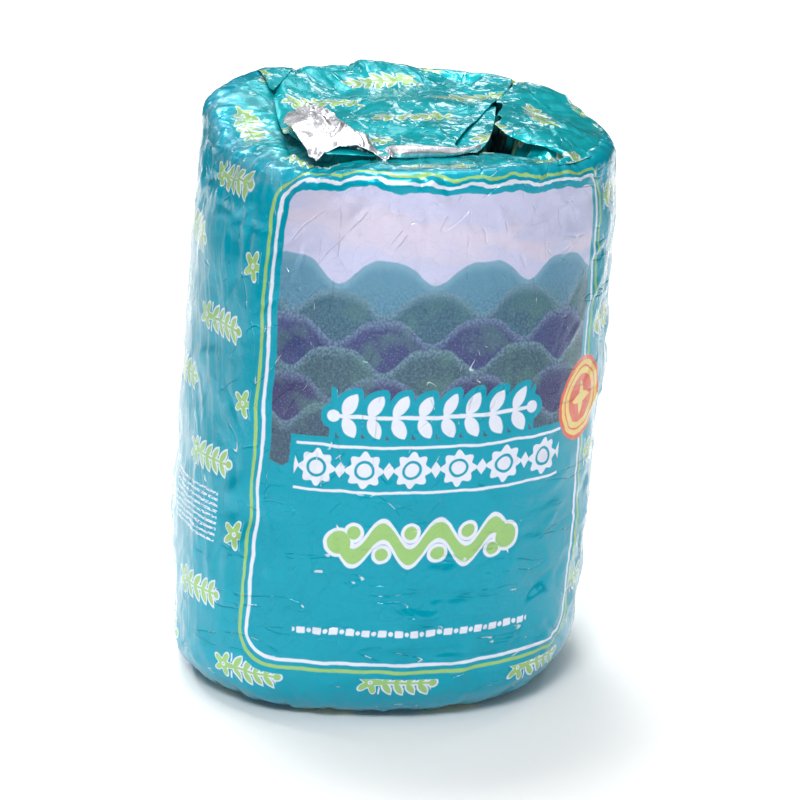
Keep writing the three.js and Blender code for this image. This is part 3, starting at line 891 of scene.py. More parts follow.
    def dashes(self) -> None:
        """Paints the thin row of white dashes and dots near the label's foot."""
        at = self.layout
        u, v = self.around(at.dashes_at)
        dash = self.box(u.repeat(at.dash_pitch), v, (1.35, 1.1), 0.4)
        dot = self.disc((u + at.dash_pitch / 2).repeat(at.dash_pitch), v, 0.75)
        self.stamp(dash.least(dot).most(abs(u) - at.dashes_half), self.ink.white)

    def ruled_block(self) -> None:
        """Paints the block of fine broken white rules, on plain teal, on the left side."""
        at = self.layout
        u, v = self.around(at.rules_at)
        broken = self.noise(self.at(u, v * 3.0), 1.5)
        wide, high = abs(u) - at.rules_half[0], abs(v) - at.rules_half[1]
        block = (abs(v.repeat(at.rule_pitch)) - at.rule_line).most(wide).most(high)
        self.stamp((wide - 1.5).most(high - 1.45), self.ink.teal)
        self.paint(self.inked(block) * broken.ramp(0.42, 0.5), self.ink.white)

    def seal(self) -> None:
        """Paints the round seal: a plain yellow disc, a red rim and a red heart with four leaves."""
        at, ink = self.layout, self.ink
        u, v = self.around(at.seal_at)
        edge = self.disc(u, v, at.seal_radius)
        disc, ring, heart = (edge + inset for inset in at.seal_rings)
        self.stamp(edge, ink.red)
        self.stamp(disc, ink.yellow)
        self.stamp(self.band(ring, 0.3), ink.red)
        self.stamp(heart, ink.red)
        self.stamp(self.leaf(u, v, at.seal_leaf).least(self.leaf(v, u, at.seal_leaf)), ink.yellow)

    def paint_side_sheen(self) -> None:
        """Paints a pale streaky sheen on both sides and the left shoulder: a painted reflection of the
        bright floor.
        """
        u, v = self.u, self.v
        slanted = self.at(u + v * 0.25, v * 0.06 - u * 0.015)
        streaks = self.noise(slanted, 1.7, detail=3.0).ramp(0.48, 0.7)
        patchy = self.noise(self.place, 26.0).ramp(0.35, 0.6)
        left = u.ramp(-76, -92) * u.ramp(-150, -112) * v.ramp(160, 135) * v.ramp(6, 26)
        right = u.ramp(66, 76) * u.ramp(140, 115) * v.ramp(125, 100) * v.ramp(8, 25)
        # Painted reflection: a pale streaky sheen on both sides, where the bright floor would reflect.
        self.paint((left + right * 0.8) * (streaks * 0.5 + patchy * 0.12), self.ink.pale_sheen)
        # Painted reflection: pale patches of sheen on the left shoulder.
        sheen_patches = self.noise(self.place, 9.0, detail=3.0).ramp(0.42, 0.62)
        shoulder = u.ramp(-150, -125) * u.ramp(-50, -72) * v.ramp(160, 174) * v.ramp(218, 200)
        self.paint(shoulder * (sheen_patches * 0.2 + streaks * 0.16), self.ink.pale_sheen)

    def paint_glints_and_cracks(self) -> None:
        """Paints bright flecks along short stretches of the creases: painted glints, which also stand
        for ink cracked to the bare metal.
        """
        broken = self.noise(self.place, 4.5, detail=3.0).ramp(0.57, 0.63)
        # Painted highlight, partly real wear: pale flecks along the creases for glints and cracked ink.
        self.paint(self.depth.ramp(0.45, 0.85) * broken * 0.75, self.ink.glint_and_crack)

    def paint_gap_shade(self) -> None:
        """Paints shade deep in the gaps under the free edges, where little light reaches."""
        place = self.node("TexCoord", output="Object")
        height = self.node("SeparateXYZ", (place,), 2) / MM
        # Painted shade: near-black teal low in the gaps and the pocket on the top.
        self.paint(self.v.ramp(184, 190) * height.ramp(175.2, 171.0) * 0.96, self.ink.gap)

    def draw(self) -> Any:
        """Paints the whole sheet.

        Returns:
            The colour of the print, with the painted sheen, glints and shade.
        """
        at, ink, label = self.layout, self.ink, self.label_distance()
        cloudy = self.noise(self.place, 30.0, detail=2.0)
        self.paint(cloudy.ramp(0.35, 0.7) * 0.5, ink.deep_teal)
        # Painted light: the top is made a lighter, greener teal for the light from above.
        self.paint(self.v.ramp(176, 190), ink.lit_top_teal)
        self.sprigs(label)
        self.ruled_block()
        self.picture(label)
        self.stamp(self.band(label, at.line), ink.lime)
        self.stamp(self.band(label + at.white_inset, at.line), ink.white)
        self.title_rows()
        self.scroll()
        self.paint_side_sheen()
        self.dashes()
        self.seal()
        self.paint_glints_and_cracks()
        self.paint_gap_shade()
        return self.colour


def new_material(name: str) -> Material:
    """Returns a new material with an empty node tree."""
    made = bpy.data.materials.new(name)
    made.use_nodes = True
    made.node_tree.nodes.clear()
    return made


def shade(tree: NodeTree, inputs: dict[str, Any]) -> None:
    """Ends a material's tree with a Principled shader that has these inputs."""
    shader = add_node(tree, "ShaderNodeBsdfPrincipled", inputs)
    add_node(tree, "ShaderNodeOutputMaterial", (shader,))


@dataclass(frozen=True)
class PrintedFoil:
    """Gravure-printed, lacquered aluminium foil: opaque ink with a metallic lift and a thin gloss."""

    metallic: float = 0.25
    roughness: float = 0.34
    specular: float = 0.05
    coat: float = 1.0
    coat_ior: float = 1.34
    coat_roughness: float = 0.1
    edge_tint: str = "#46a9bb"  # the foil's own glance at a low angle still comes through the ink
    # Foil creases every few tenths of a millimetre; drawn at 1.2 to 5 mm so that they show. Each
    # pair is a width and a height.
    grain: Pair = (1.2, 0.03)
    facets: Pairs = ((5.0, 0.06), (2.1, 0.04))
    pleats: Pair = (3.0, 0.14)
    pinches: Pair = (3.6, 0.13)
    crease_depth: float = 0.2

    def height(self, sheet: SheetPrint) -> Field:
        """Returns the height of the finest crumples and creases, in millimetres."""
        u, v = sheet.u, sheet.v
        on_top, on_shoulder = v.ramp(178, 190), u.ramp(-48, -66) * v.ramp(148, 168)
        large, small = (sheet.tilted(width) * high for width, high in self.facets)
        # On the top the facets are longer from front to back, as the foil was pleated there.
        pleated = sheet.tilted(self.pleats[0], sheet.at(u + v * 0.3, v * 0.4 - u * 0.1))
        fine = sheet.noise(sheet.place, self.grain[0], detail=3.0) * self.grain[1]
        height = (large + small) * (on_top + 1.0) + pleated * on_top * self.pleats[1] + fine
        # The left shoulder is pinched into small flats.
        height = height + sheet.tilted(self.pinches[0]) * on_shoulder * self.pinches[1]
        return height - sheet.depth * self.crease_depth

    def material(self) -> Material:
        """Builds the material with the print, the ink's mottling and the finest crumples.

        Returns:
            The material.
        """
        made = new_material("printed_lacquered_foil")
        sheet = SheetPrint(made.node_tree, InkColours(), PrintLayout())
        bump = {"Strength": 1.0, "Distance": MM, "Height": self.height(sheet)}
        normal = sheet.node("Bump", bump)
        worn = sheet.noise(sheet.place, 7.0, detail=3.0)
        inputs = {
            "Base Color": sheet.draw(),
            "Metallic": self.metallic,
            "Roughness": worn.times(0.16, self.roughness - 0.08),
            "Normal": normal,
            "Specular IOR Level": self.specular,
            "Specular Tint": srgb(self.edge_tint),
            "Coat Weight": self.coat,
            "Coat IOR": self.coat_ior,
            "Coat Roughness": self.coat_roughness,
            "Coat Normal": normal,
        }
        shade(made.node_tree, inputs)
        return made


@dataclass(frozen=True)
class BareFoil:
    """Rolled aluminium foil, its bright bare face: silver-white with sharp crumpled highlights."""

    colour: str = "#fafbfd"
    shaded: str = "#d9dae4"
    metallic: float = 0.84
    roughness: float = 0.27
    bump_depth: float = 0.3

    def material(self) -> Material:
        """Builds the material with its fine rolling lines and crumples.

        Returns:
            The material.
        """
        made = new_material("bare_rolled_aluminium_foil")
        tree = made.node_tree
        sheet = add_node(tree, "ShaderNodeUVMap", uv_map=UV_NAME)
        fine = {"Vector": sheet, "Scale": 620.0, "Detail": 4.0}
        wrinkles = add_node(tree, "ShaderNodeTexNoise", fine)
        # Rolling lines are microns apart; drawn 0.5 mm apart so that they show.
        lines = {"Vector": sheet, "Scale": 320.0, "Distortion": 1.5}
        rolled = add_node(tree, "ShaderNodeTexWave", lines, output=1)
        bump = {"Strength": 0.3, "Distance": self.bump_depth * MM, "Height": wrinkles + rolled * 0.12}
        tints = {0: wrinkles.ramp(0.3, 0.7), 6: srgb(self.colour), 7: srgb(self.shaded)}
        inputs = {
            "Base Color": add_node(tree, "ShaderNodeMix", tints, 2, data_type="RGBA"),
            "Metallic": self.metallic,
            "Roughness": wrinkles.times(0.2, self.roughness - 0.08),
            "Normal": add_node(tree, "ShaderNodeBump", bump),
        }
        shade(tree, inputs)
        return made


class CrumpleTool:
    """Geometry nodes that press small sharp-edged facets into a sheet of foil."""

    def __init__(self) -> None:
        """Builds the tree once, with its sizes as named inputs."""
        tree = bpy.data.node_groups.new("press_foil_crumples", "GeometryNodeTree")
        face = tree.interface
        kinds = ("Geometry", "Float", "Float", "Float", "Material")
        names = ("Sheet", "Facet size", "Facet depth", "Seed", "Finish")
        self.sockets: dict[str, str] = {}
        for name, kind in zip(names, kinds):
            socket = face.new_socket(name=name, in_out="INPUT", socket_type="NodeSocket" + kind)
            self.sockets[name] = socket.identifier
        face.new_socket(name="Sheet", in_out="OUTPUT", socket_type="NodeSocketGeometry")
        sheet = add_node(tree, "NodeGroupInput")
        size, depth, seed = (sheet.other(name) for name in ("Facet size", "Facet depth", "Seed"))
        position = add_node(tree, "GeometryNodeInputPosition")
        turn = {"Vector": position, "Rotation": (0.7, 0.4, 0.9)}
        turned = add_node(tree, "ShaderNodeVectorRotate", turn, rotation_type="EULER_XYZ")
        ruffle = add_node(tree, "ShaderNodeTexNoise", {"Vector": turned, "Scale": 90.0}, output=1)
        sums = (ruffle, (0.006, 0.006, 0.006), turned)
        ruffled = add_node(tree, "ShaderNodeVectorMath", sums, operation="MULTIPLY_ADD")
        relief = None
        for scale, share in ((1.0, 0.7), (0.42, 0.3)):
            cells = {"Vector": ruffled, "W": seed, "Scale": (size * scale).do("POWER", -1.0)}
            settings = {"voronoi_dimensions": "4D", "distance": "MANHATTAN"}
            layer = (add_node(tree, "ShaderNodeTexVoronoi", cells, **settings) - 0.75) * share
            relief = layer if relief is None else relief + layer
        mask = add_node(tree, "GeometryNodeInputNamedAttribute", (FOLDING,), data_type="FLOAT")
        push = {0: add_node(tree, "GeometryNodeInputNormal"), "Scale": relief * depth * mask}
        out = add_node(tree, "ShaderNodeVectorMath", push, operation="SCALE")
        pressed = add_node(tree, "GeometryNodeSetPosition", {"Geometry": sheet, "Offset": out})
        finish = {"Geometry": pressed, "Material": sheet.other("Finish")}
        finished = add_node(tree, "GeometryNodeSetMaterial", finish)
        real = add_node(tree, "GeometryNodeRealizeInstances", (finished,))
        add_node(tree, "NodeGroupOutput", (real,))
        self.tree = tree

    def press(self, piece: Object, facets: Pair, seed: int, finish: Material) -> None:
        """Crumples a piece and leaves it a plain mesh.

        Args:
            piece: The sheet to crumple.
            facets: Width and depth of the facets.
            seed: Which crumples it gets.
            finish: Its material.
        """
        modifier = piece.modifiers.new("crumples", "NODES")
        modifier.node_group = self.tree
        modifier[self.sockets["Facet size"]] = facets[0] * MM
        modifier[self.sockets["Facet depth"]] = facets[1] * MM
        modifier[self.sockets["Seed"]] = float(seed)
        modifier[self.sockets["Finish"]] = finish
        graph = bpy.context.evaluated_depsgraph_get()
        pressed = bpy.data.meshes.new_from_object(
            piece.evaluated_get(graph), preserve_all_data_layers=True, depsgraph=graph
        )
        piece.modifiers.remove(modifier)
        piece.data = pressed
        pressed.name = piece.name


@dataclass(frozen=True)
class Workshop:
    """What every piece is made with: the finishes and the crumpling tool."""

    printed: Material
    bare: Material
    crumples: CrumpleTool

    def make(
        self,
        name: str,
        sheet: FoilGrid,
        seed: int,
        facets: Pair = (4.0, 0.06),
        thickness: float = 0.14,
        face: FoilFace = FoilFace.PRINTED,
        node: str = "wrapped_cheese",
    ) -> Object:
        """Makes a sheet into a finished piece and joins it to the model.

        Args:
            name: The piece's name.
            sheet: The foil.
            seed: Which small crumples it gets.
            facets: Width and depth of the small crumples.
            thickness: Thickness of the foil; 0 for a closed body.
            face: Which face of the foil is up.
            node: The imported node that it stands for.

        Returns:
            The piece.
        """
        up, under = self.printed, self.bare
        if face is FoilFace.BARE:
            up, under = under, up
        piece = sheet.build(name)
        self.crumples.press(piece, facets, seed, up)
        if thickness:
            piece.data.materials.append(under)
            solid = piece.modifiers.new("thickness", "SOLIDIFY")
            solid.thickness = thickness * MM
            solid.offset = -1.0
            solid.material_offset = 1
        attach(piece, "root")
        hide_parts(node)
        return piece


@dataclass(frozen=True)
class Wrapper:
    """The main sheet of foil: folded base, wall, rim and the pressed-down layer under the flap."""

    shape: WrappedShape
    flap: FlapShape
    side_fold: SideFoldShape
    columns: int = 440
    crowding: Pair = (0.2, -0.257)  # how much closer the columns stand at the front, and where
    seam_at: float = -162.5
    seam_gap: float = 0.003  # between the first and the last column, in radians
    lap: float = 0.9
    gap_depth: float = 6.0  # under the flap's free edges
    pocket_drop: float = 13.0  # how far the foil under the side fold falls towards the pocket
    pocket_floor: Pair = (158.0, 177.0)  # its height at the left and at the right
    seeds: tuple[int, int] = (4, 3)  # of the creases and of the small crumples
    facets: tuple[tuple[float, int], ...] = ((17.0, 12), (8.5, 1), (3.9, 2))  # widths and seeds
    foil_radii: Pairs = ((0, 68.4), (90, 68.7), (179, 65.4), (240, 65.4))
    # Folds of the top's rim: direction, half width and height.
    folds: tuple[tuple[float, float, float], ...] = (
        (-122, 11, 1.5), (-90, 9, -1.2), (-70, 8, 1.0), (-26, 8, 0.8), (-3, 7, -0.8), (17, 8, 0.8),
    )
    zones: tuple[CreaseZone, ...] = (
        # Long fine creases all over the wall.
        CreaseZone(170, (-215, 215), (24, 172), 75, 55, (6, 26), (0.9, 2.2), (0.16, 0.5), 0.6),
        # Soft slanting buckles all over the wall.
        CreaseZone(80, (-215, 215), (14, 172), 50, 60, (8, 24), (4, 9), (0.3, 0.7), 0.5),
        # Soft upright folds on both sides and the back.
        CreaseZone(12, (-140, -66), (40, 160), 86, 10, (18, 42), (2.5, 6), (0.25, 0.7), 0.4),
        CreaseZone(20, (66, 270), (30, 160), 88, 14, (15, 45), (2.5, 6), (0.25, 0.7), 0.4),
        # Gathers under the rim.
        CreaseZone(120, (-215, 215), (158, 182), 80, 50, (3, 12), (1.0, 3), (0.2, 0.55)),
        # The pinched left shoulder.
        CreaseZone(60, (-120, -48), (150, 208), 55, 60, (4, 16), (0.9, 2.6), (0.4, 1.0)),
        # The crushed layers on the top.
        CreaseZone(150, (-215, 215), (182, 226), 60, 90, (4, 14), (0.9, 2.4), (0.2, 0.55)),
        # Level waves near the label's foot.
        CreaseZone(60, (-30, 66), (10, 62), 2, 14, (5, 18), (1.0, 2.8), (0.25, 0.65)),
        # Buckles on the right.
        CreaseZone(90, (34, 112), (20, 165), 8, 50, (4, 16), (1.3, 4.5), (0.3, 1.0)),
        # Crushed corners of the base.
        CreaseZone(50, (-140, -50), (2, 80), 60, 80, (5, 16), (2, 5), (0.2, 0.55)),
        CreaseZone(100, (-215, 215), (-8, 18), 75, 50, (3, 12), (1.4, 3.4), (0.2, 0.6), 0.7),
        # Pleats of the gathered base, pressed flat.
        CreaseZone(90, (-215, 215), (-60, -9), 82, 16, (10, 30), (2.5, 7), (0.2, 0.6), 1.0),
    )
    # The longest creases that cross the label: place, direction, half sizes and height.
    long_creases: tuple[tuple[float, ...], ...] = (
        (-23, 150, 97, 26, 1.6, -0.35),
        (-13, 152, 84, 24, 1.5, -0.3),
        (14, 77, -46, 20, 1.8, 0.4),
        (-9, 68, 92, 26, 1.5, -0.25),
        (24, 150, 60, 14, 1.5, 0.25),
    )
    sag: Pair = (3.4, 1.9)  # how far the rim's left front sags down and in

    def fold_height(self, x: Array, y: Array) -> Array:
        """Returns the height of the front and left folds on the top."""
        reach, angle = np.hypot(x, y), np.arctan2(x, -y)
        z = self.shape.rim_height(angle) - 0.6 * smooth(60, 44, reach)
        z = z - 2.4 * smooth(60, 42, reach) * smooth(-42, -15, y)
        for middle, half, out in self.folds:
            across = ridge(wrap_angle(angle - math.radians(middle)), math.radians(half))
            z = z + out * across * smooth(40, 52, reach)
        return z

    def top_height(self, x: Array, y: Array) -> Array:
        """Finds the height of the top, with the dark gaps under the free edges.

        Args:
            x: Place from the leaning axis.
            y: Place from the leaning axis.

        Returns:
            The height of the foil under and around the flap and the side fold.
        """
        inside = self.flap.inside(x, y)
        gap_width = 0.2 + 3.4 * smooth(-2, -16, y) * smooth(-46, -36, y) * smooth(-26, -36, x)
        under = self.flap.height(x, y) - 2.4 - (self.gap_depth - 2.4) * smooth(9, 5, inside)
        z = mix(self.fold_height(x, y), under, smooth(-gap_width - 0.4, 2.0 - gap_width, inside))
        fold = self.side_fold.inside(x, y)
        where = self.side_fold.polar(x, y)[0]
        front_fold = self.side_fold.height(x, y) - 0.5
        front_fold = front_fold - (1.0 + 4.5 * smooth(8, 3, fold)) * smooth(58, 84, where)
        front_fold = front_fold - self.pocket_drop * smooth(10, 5, fold) * smooth(80, 92, where)
        z = mix(z, front_fold, smooth(-1.5, 1.5, fold))
        pocket = smooth(-2, 0.5, -fold) * smooth(-13, -10, fold) * smooth(1, -1, inside)
        pocket = pocket * smooth(-51, -46, y) * smooth(6, 12, x)
        z = mix(z, mix(*self.pocket_floor, smooth(25, 45, x)), pocket)
        return mix(z, self.shape.rim_height(np.arctan2(x, -y)), smooth(56, 60, np.hypot(x, y)))

    def profile(self) -> Array:
        """Lays out the rows.

        Returns:
            Radius and height on the plain turned shape, and the place up the flat sheet.
        """
        shape = self.shape
        arc, rim = shape.base_rounding, shape.rim_rounding
        flat, reach = shape.base_radius - arc, shape.base_radius - rim
        wall_top = shape.top_height - rim
        quarter = math.pi / 2
        foot, crest = arc * (1 - quarter), wall_top + rim * quarter
        rows = [(flat * r, 0.0, foot - flat * (1 - r)) for r in np.linspace(0, 1, 14) ** 0.7]
        for a in np.linspace(0, quarter, 17)[1:]:
            rows.append((flat + arc * math.sin(a), arc * (1 - math.cos(a)), foot + arc * a))
        rows += [(shape.base_radius, z, z) for z in np.linspace(arc, wall_top, 132)[1:]]
        for a in np.linspace(0, quarter, 9)[1:]:
            rows.append((reach + rim * math.cos(a), wall_top + rim * math.sin(a), wall_top + rim * a))
        for r in [*np.linspace(reach, 22, 44)[1:], *np.linspace(22, 0, 9)[1:]]:
            rows.append((r, shape.top_height, crest + reach - r))
        return np.array(rows).T

    def slumped(self, angle: Array, radius: Array, z: Array) -> Array:
        """Moves points of the plain turned shape to where the slumped one has them.

        Args:
            angle: Direction in radians.
            radius: Distance from the axis on the plain shape.
            z: Height on the plain shape.

        Returns:
            The places in the part's frame.
        """
        shape = self.shape
        wall = shape.wall_radius(angle, z)
        on_top = z > shape.top_height - 1e-6
        top_reach = (wall - shape.rim_rounding) * radius / (shape.base_radius - shape.rim_rounding)
        wall_reach = np.where(z > 0, wall - (shape.base_radius - radius), radius)
        reach = np.where(on_top, top_reach, wall_reach)
        x, y = reach * np.sin(angle), -reach * np.cos(angle)
        lift = smooth(60, shape.top_height - shape.rim_rounding, z)
        wall_z = z + lift * (shape.rim_height(angle) - shape.top_height)
        return shape.from_axis(x, y, np.where(on_top, self.top_height(x, y), wall_z))

    def sagged(self, points: Array, angle: Array, t: Array) -> Array:
        """Lets the rim sag at its left front.

        Args:
            points: Places, by row and column.
            angle: Direction of each in radians.
            t: Place of each up the sheet.

        Returns:
            The moved places.
        """
        degrees = np.degrees(wrap_angle(angle))
        share = smooth(20, 0, np.abs(t - self.shape.top_height))
        share = share * smooth(-104, -78, degrees) * smooth(-26, -48, degrees)
        down, inward = self.sag[0] * share, self.sag[1] * share
        way = np.stack([-inward * np.sin(angle), inward * np.cos(angle), -down], axis=-1)
        return points + way

    def relief(self, s: Array, t: Array, sides: Array) -> Array:
        """Adds up the creases and the crushed facets of the wall and the top.

        Args:
            s: Place round the cheese, in millimetres of foil.
            t: Place up the sheet.
            sides: How much more crushed the sheet is beside the label.

        Returns:
            How far out they lift each point.
        """
        creases = Creases(self.seeds[0], self.zones)
        for place, up, turn, *sizes in self.long_creases:
            creases.lines.append((place, up, math.radians(turn), *sizes, 0.0))
        off = np.abs(s - PrintLayout.label_middle)
        label = smooth(60, 48, off) * smooth(66, 88, t) * smooth(178, 168, t)
        shoulder = smooth(-158, -140, s) * smooth(-58, -72, s) * smooth(156, 176, t)
        on_top = smooth(158, 182, t)
        coarse = 0.25 - 0.13 * label + 0.35 * on_top + 1.3 * shoulder
        fine = 0.12 + sides + 0.2 * on_top + 0.3 * smooth(40, 8, t)
        large, middling, small = (facet_relief(s, t, width, seed) for width, seed in self.facets)
        out = creases.relief(s, t) * (1 - 0.45 * label) + coarse * large + fine * middling
        return out + 0.4 * fine * (1 - 0.4 * on_top) * small

    def build(self, shop: Workshop) -> Object:
        """Makes the piece.

        Args:
            shop: The finishes and tools.

        Returns:
            The main sheet.
        """
        radius, z, t = (rows[:, None] for rows in self.profile())
        full = 2 * math.pi
        turn = np.linspace(0, full, self.columns + 1)[:-1]
        turn[-1] = full - self.seam_gap
        start = math.radians(self.seam_at)
        share, middle = self.crowding
        angle = start + turn + share * (np.sin(start - middle) - np.sin(turn + start - middle))
        foil_radius = along(self.foil_radii, t)
        s = foil_radius * angle
        t = np.broadcast_to(t, s.shape)
        # The seam wanders a little on its way up.
        swing = 0.02 * np.sin(t / 23) + 0.01 * np.sin(t / 7 + 1)
        angle = angle + swing * smooth(0.5, 0.0, np.minimum(turn, full - turn))
        points = self.sagged(self.slumped(angle, radius, z), angle, t)
        sides = 0.25 * smooth(60, 75, np.abs(s - PrintLayout.label_middle))
        out = self.relief(s, t, sides)
        # On the flat base creases only go in, so that it still stands on its face.
        out = mix(out, -np.abs(out), smooth(-4, -12, t)) * smooth(0, 8, radius)
        lap = self.lap * smooth(full - 0.32, full - 0.02, turn)
        out = out + lap * smooth(-4, 12, t) * smooth(200, 182, t)
        points = push_out(points, out, closed=True)
        points[..., 2] = np.maximum(points[..., 2], 0.0)
        crumple = (0.5 + 0.3 * smooth(50, 10, t) + sides) * smooth(-8, 2, t)
        sheet = FoilGrid(points, s, t, crumple, full * foil_radius)
        return shop.make("foil_wrapper", sheet, self.seeds[1], (3.6, 0.14), thickness=0.0)


@dataclass(frozen=True)
class BackFlap:
    """The flap folded forward from the back over the middle of the top."""

    flap: FlapShape
    rows: int = 150
    columns: int = 170
    hem: float = 4.0  # how far the back edge is turned down
    seeds: tuple[int, int] = (11, 8)
    facets: Facets = ((15.0, 0.7, 5), (6.0, 0.12, 6))
    zones: tuple[CreaseZone, ...] = (
        CreaseZone(46, (150, 280), (184, 300), 80, 50, (8, 20), (1.6, 3.6), (0.2, 0.5)),
        CreaseZone(70, (150, 280), (184, 300), 95, 35, (3, 11), (0.7, 1.4), (0.14, 0.34), 0.3),
    )

    def build(self, shop: Workshop) -> Object:
        """Makes the piece.

        Args:
            shop: The finishes and tools.

        Returns:
            The flap.
        """
        flap, shape = self.flap, self.flap.shape
        u, v = unit_grid(self.columns, self.rows)
        u3, v3 = u[..., None], v[..., None]
        start, end = flap.leaves
        back = flap.back(mix(start, end, u))
        front = plan_curve(tuple(reversed(flap.front)), u)
        ends = flap.back(np.array([start, end], float))
        right = plan_curve((tuple(ends[0]), *reversed(flap.pleat)), v)
        left = plan_curve((tuple(ends[1]), *flap.left), v)
        plan = back * (1 - v3) + front * v3 + right * (1 - u3) + left * u3
        plan = plan - ends[0] * (1 - u3) * (1 - v3) - ends[1] * u3 * (1 - v3)
        plan = plan - np.array(flap.front[-1]) * (1 - u3) * v3 - np.array(flap.front[0]) * u3 * v3
        x, y = plan[..., 0], plan[..., 1]
        turned_down = self.hem * (1 - smooth(0, 0.13, v)) ** 2
        turned_down = turned_down + 1.9 * smooth(0.93, 1.0, u) * smooth(-14, -4, y)
        points = shape.from_axis(x, y, flap.height(x, y) - turned_down)
        s, t = flap.on_sheet(x, y)
        out = Creases(self.seeds[0], self.zones).relief(s, t) + crushed(s, t, self.facets)
        points = push_out(points, out * smooth(0, 0.1, v))
        sheet = FoilGrid(points, s, t, smooth(0, 0.08, v))
        return shop.make("foil_back_flap", sheet, self.seeds[1])


@dataclass(frozen=True)
class SmallFold:
    """A narrow fold of the same foil, given by its two long edges in plan."""

    name: str
    flap: FlapShape
    left: Pairs
    right: Pairs
    lift: float
    seed: int
    turned_down: float = 0.0
    rows: int = 90
    columns: int = 50
    zone: CreaseZone = CreaseZone(30, (170, 260), (190, 290), 80, 50, (3, 12), (0.8, 2.4), (0.15, 0.4))

    def build(self, shop: Workshop) -> Object:
        """Makes the piece.

        Args:
            shop: The finishes and tools.

        Returns:
            The fold.
        """
        u, v = unit_grid(self.columns, self.rows)
        plan = mix(plan_curve(self.right, v), plan_curve(self.left, v), u[..., None])
        x, y = plan[..., 0], plan[..., 1]
        lift = self.lift - self.turned_down * (1 - smooth(0, 0.3, v)) ** 2
        points = self.flap.shape.from_axis(x, y, self.flap.height(x, y) + lift)
        s, t = self.flap.on_sheet(x, y)
        out = Creases(self.seed, (self.zone,)).relief(s, t) + crushed(s, t, ((9.0, 0.35, self.seed),))
        sheet = FoilGrid(push_out(points, out), s, t, np.ones(x.shape))
        return shop.make(self.name, sheet, self.seed)


@dataclass(frozen=True)
class SideFold:
    """The fold pressed in from the right, whose front arches over the dark pocket."""

    fold: SideFoldShape
    rows: int = 90
    columns: int = 190
    seeds: tuple[int, int] = (23, 5)
    facets: Facets = ((14.0, 0.7, 7), (6.0, 0.12, 8))
    zones: tuple[CreaseZone, ...] = (
        CreaseZone(40, (60, 190), (180, 260), 20, 50, (7, 18), (1.5, 3.4), (0.25, 0.6)),
        CreaseZone(60, (60, 190), (180, 260), 10, 35, (3, 11), (0.7, 1.5), (0.14, 0.36), 0.3),
    )

    def build(self, shop: Workshop) -> Object:
        """Makes the piece.

        Args:
            shop: The finishes and tools.

        Returns:
            The side fold.
        """
        fold = self.fold
        u, v = unit_grid(self.columns, self.rows)
        where = mix(fold.spans[0], fold.spans[1], u)
        rim = fold.rim(where)
        reach = mix(rim + 1, np.minimum(along(fold.lip_reach, where), rim - 2), v)
        x = fold.centre[0] + reach * np.sin(np.radians(where))
        y = fold.centre[1] - reach * np.cos(np.radians(where))
        points = fold.shape.from_axis(x, y, fold.height(x, y))
        s, t = fold.on_sheet(x, y)
        out = Creases(self.seeds[0], self.zones).relief(s, t) + crushed(s, t, self.facets)
        points = push_out(points, out * smooth(0, 0.2, v) * (1 - 0.8 * smooth(0.9, 1, v)))
        sheet = FoilGrid(points, s, t, smooth(0, 0.15, v))
        return shop.make("foil_side_fold", sheet, self.seeds[1])


@dataclass(frozen=True)
class SilverEdge:
    """The turned-back corner and hem of the flap, which show the foil's bare face."""

    shape: WrappedShape
    rows: int = 60
    columns: int = 240
    thickness: float = 0.2
    seeds: tuple[int, int] = (31, 2)
    facets: Facets = ((9.0, 1.2, 9), (3.4, 0.12, 10))
    hem_width: float = 2.2  # how far the rolled hem stands forward
    corner_curl: float = 1.2
    hem_curl: float = 0.7
    front: Pairs = (
        (-41, -39), (-37.5, -35), (-33, -34), (-28.5, -35.5), (-23.5, -38.5), (-15.5, -41),
        (-4, -41), (4, -40), (11, -38.5),
    )
    back: Pairs = (
        (-45.5, -12), (-41, -1), (-34, 0), (-29, -8), (-26.5, -20), (-21, -33.5), (-6, -37),
        (4, -37.5), (11, -38),
    )

    front_heights: Pairs = (
        (0, 178.3), (0.125, 180.6), (0.25, 181.8), (0.375, 182.0), (0.5, 180.6), (0.6, 178.4),
        (0.75, 178.2), (1, 179.2),
    )
    back_heights: Pairs = (
        (0, 184), (0.125, 185.2), (0.25, 186.4), (0.375, 185.6), (0.5, 183.6), (0.625, 180.7),
        (0.75, 180.4), (1, 179.7),
    )
    zones: tuple[CreaseZone, ...] = (
        CreaseZone(22, (-46, -18), (-40, 2), 100, 40, (5, 14), (1.0, 3), (0.6, 1.4)),
        CreaseZone(30, (-46, -18), (-40, 2), 60, 90, (2, 6), (0.6, 1.3), (0.15, 0.35)),
        CreaseZone(16, (-18, 12), (-44, -36), 0, 14, (4, 10), (0.6, 1.2), (0.2, 0.4)),
    )

    def build(self, shop: Workshop) -> Object:
        """Makes the piece.

        Args:
            shop: The finishes and tools.

        Returns:
            The silver edge.
        """
        u, v = unit_grid(self.columns, self.rows)
        plan = mix(plan_curve(self.front, u), plan_curve(self.back, u), v[..., None])
        wide, arch = 1 - smooth(0.36, 0.52, u), np.sin(math.pi * v)
        rolled = self.hem_width * (1 - wide) * np.sin(math.pi * clamp(1.4 * v)) * smooth(1, 0.85, u)
        x, y = plan[..., 0], plan[..., 1] - rolled
        low, high = along(self.front_heights, u), along(self.back_heights, u)
        rise = mix(smooth(0, 1, clamp(1.5 * v)), v, wide)
        curl = self.corner_curl * wide * arch
        curl = curl + self.hem_curl * (1 - wide) * arch * (1 + np.sin(19 * u + 1))
        points = self.shape.from_axis(x, y, mix(low, high, rise) + curl)
        out = Creases(self.seeds[0], self.zones).relief(x, y) + crushed(x, y, self.facets) * wide
        sheet = FoilGrid(push_out(points, out), x, y, np.ones(x.shape))
        look = (self.thickness, FoilFace.BARE, "silver_edge")
        return shop.make("foil_silver_edge", sheet, self.seeds[1], (3.4, 0.08), *look)


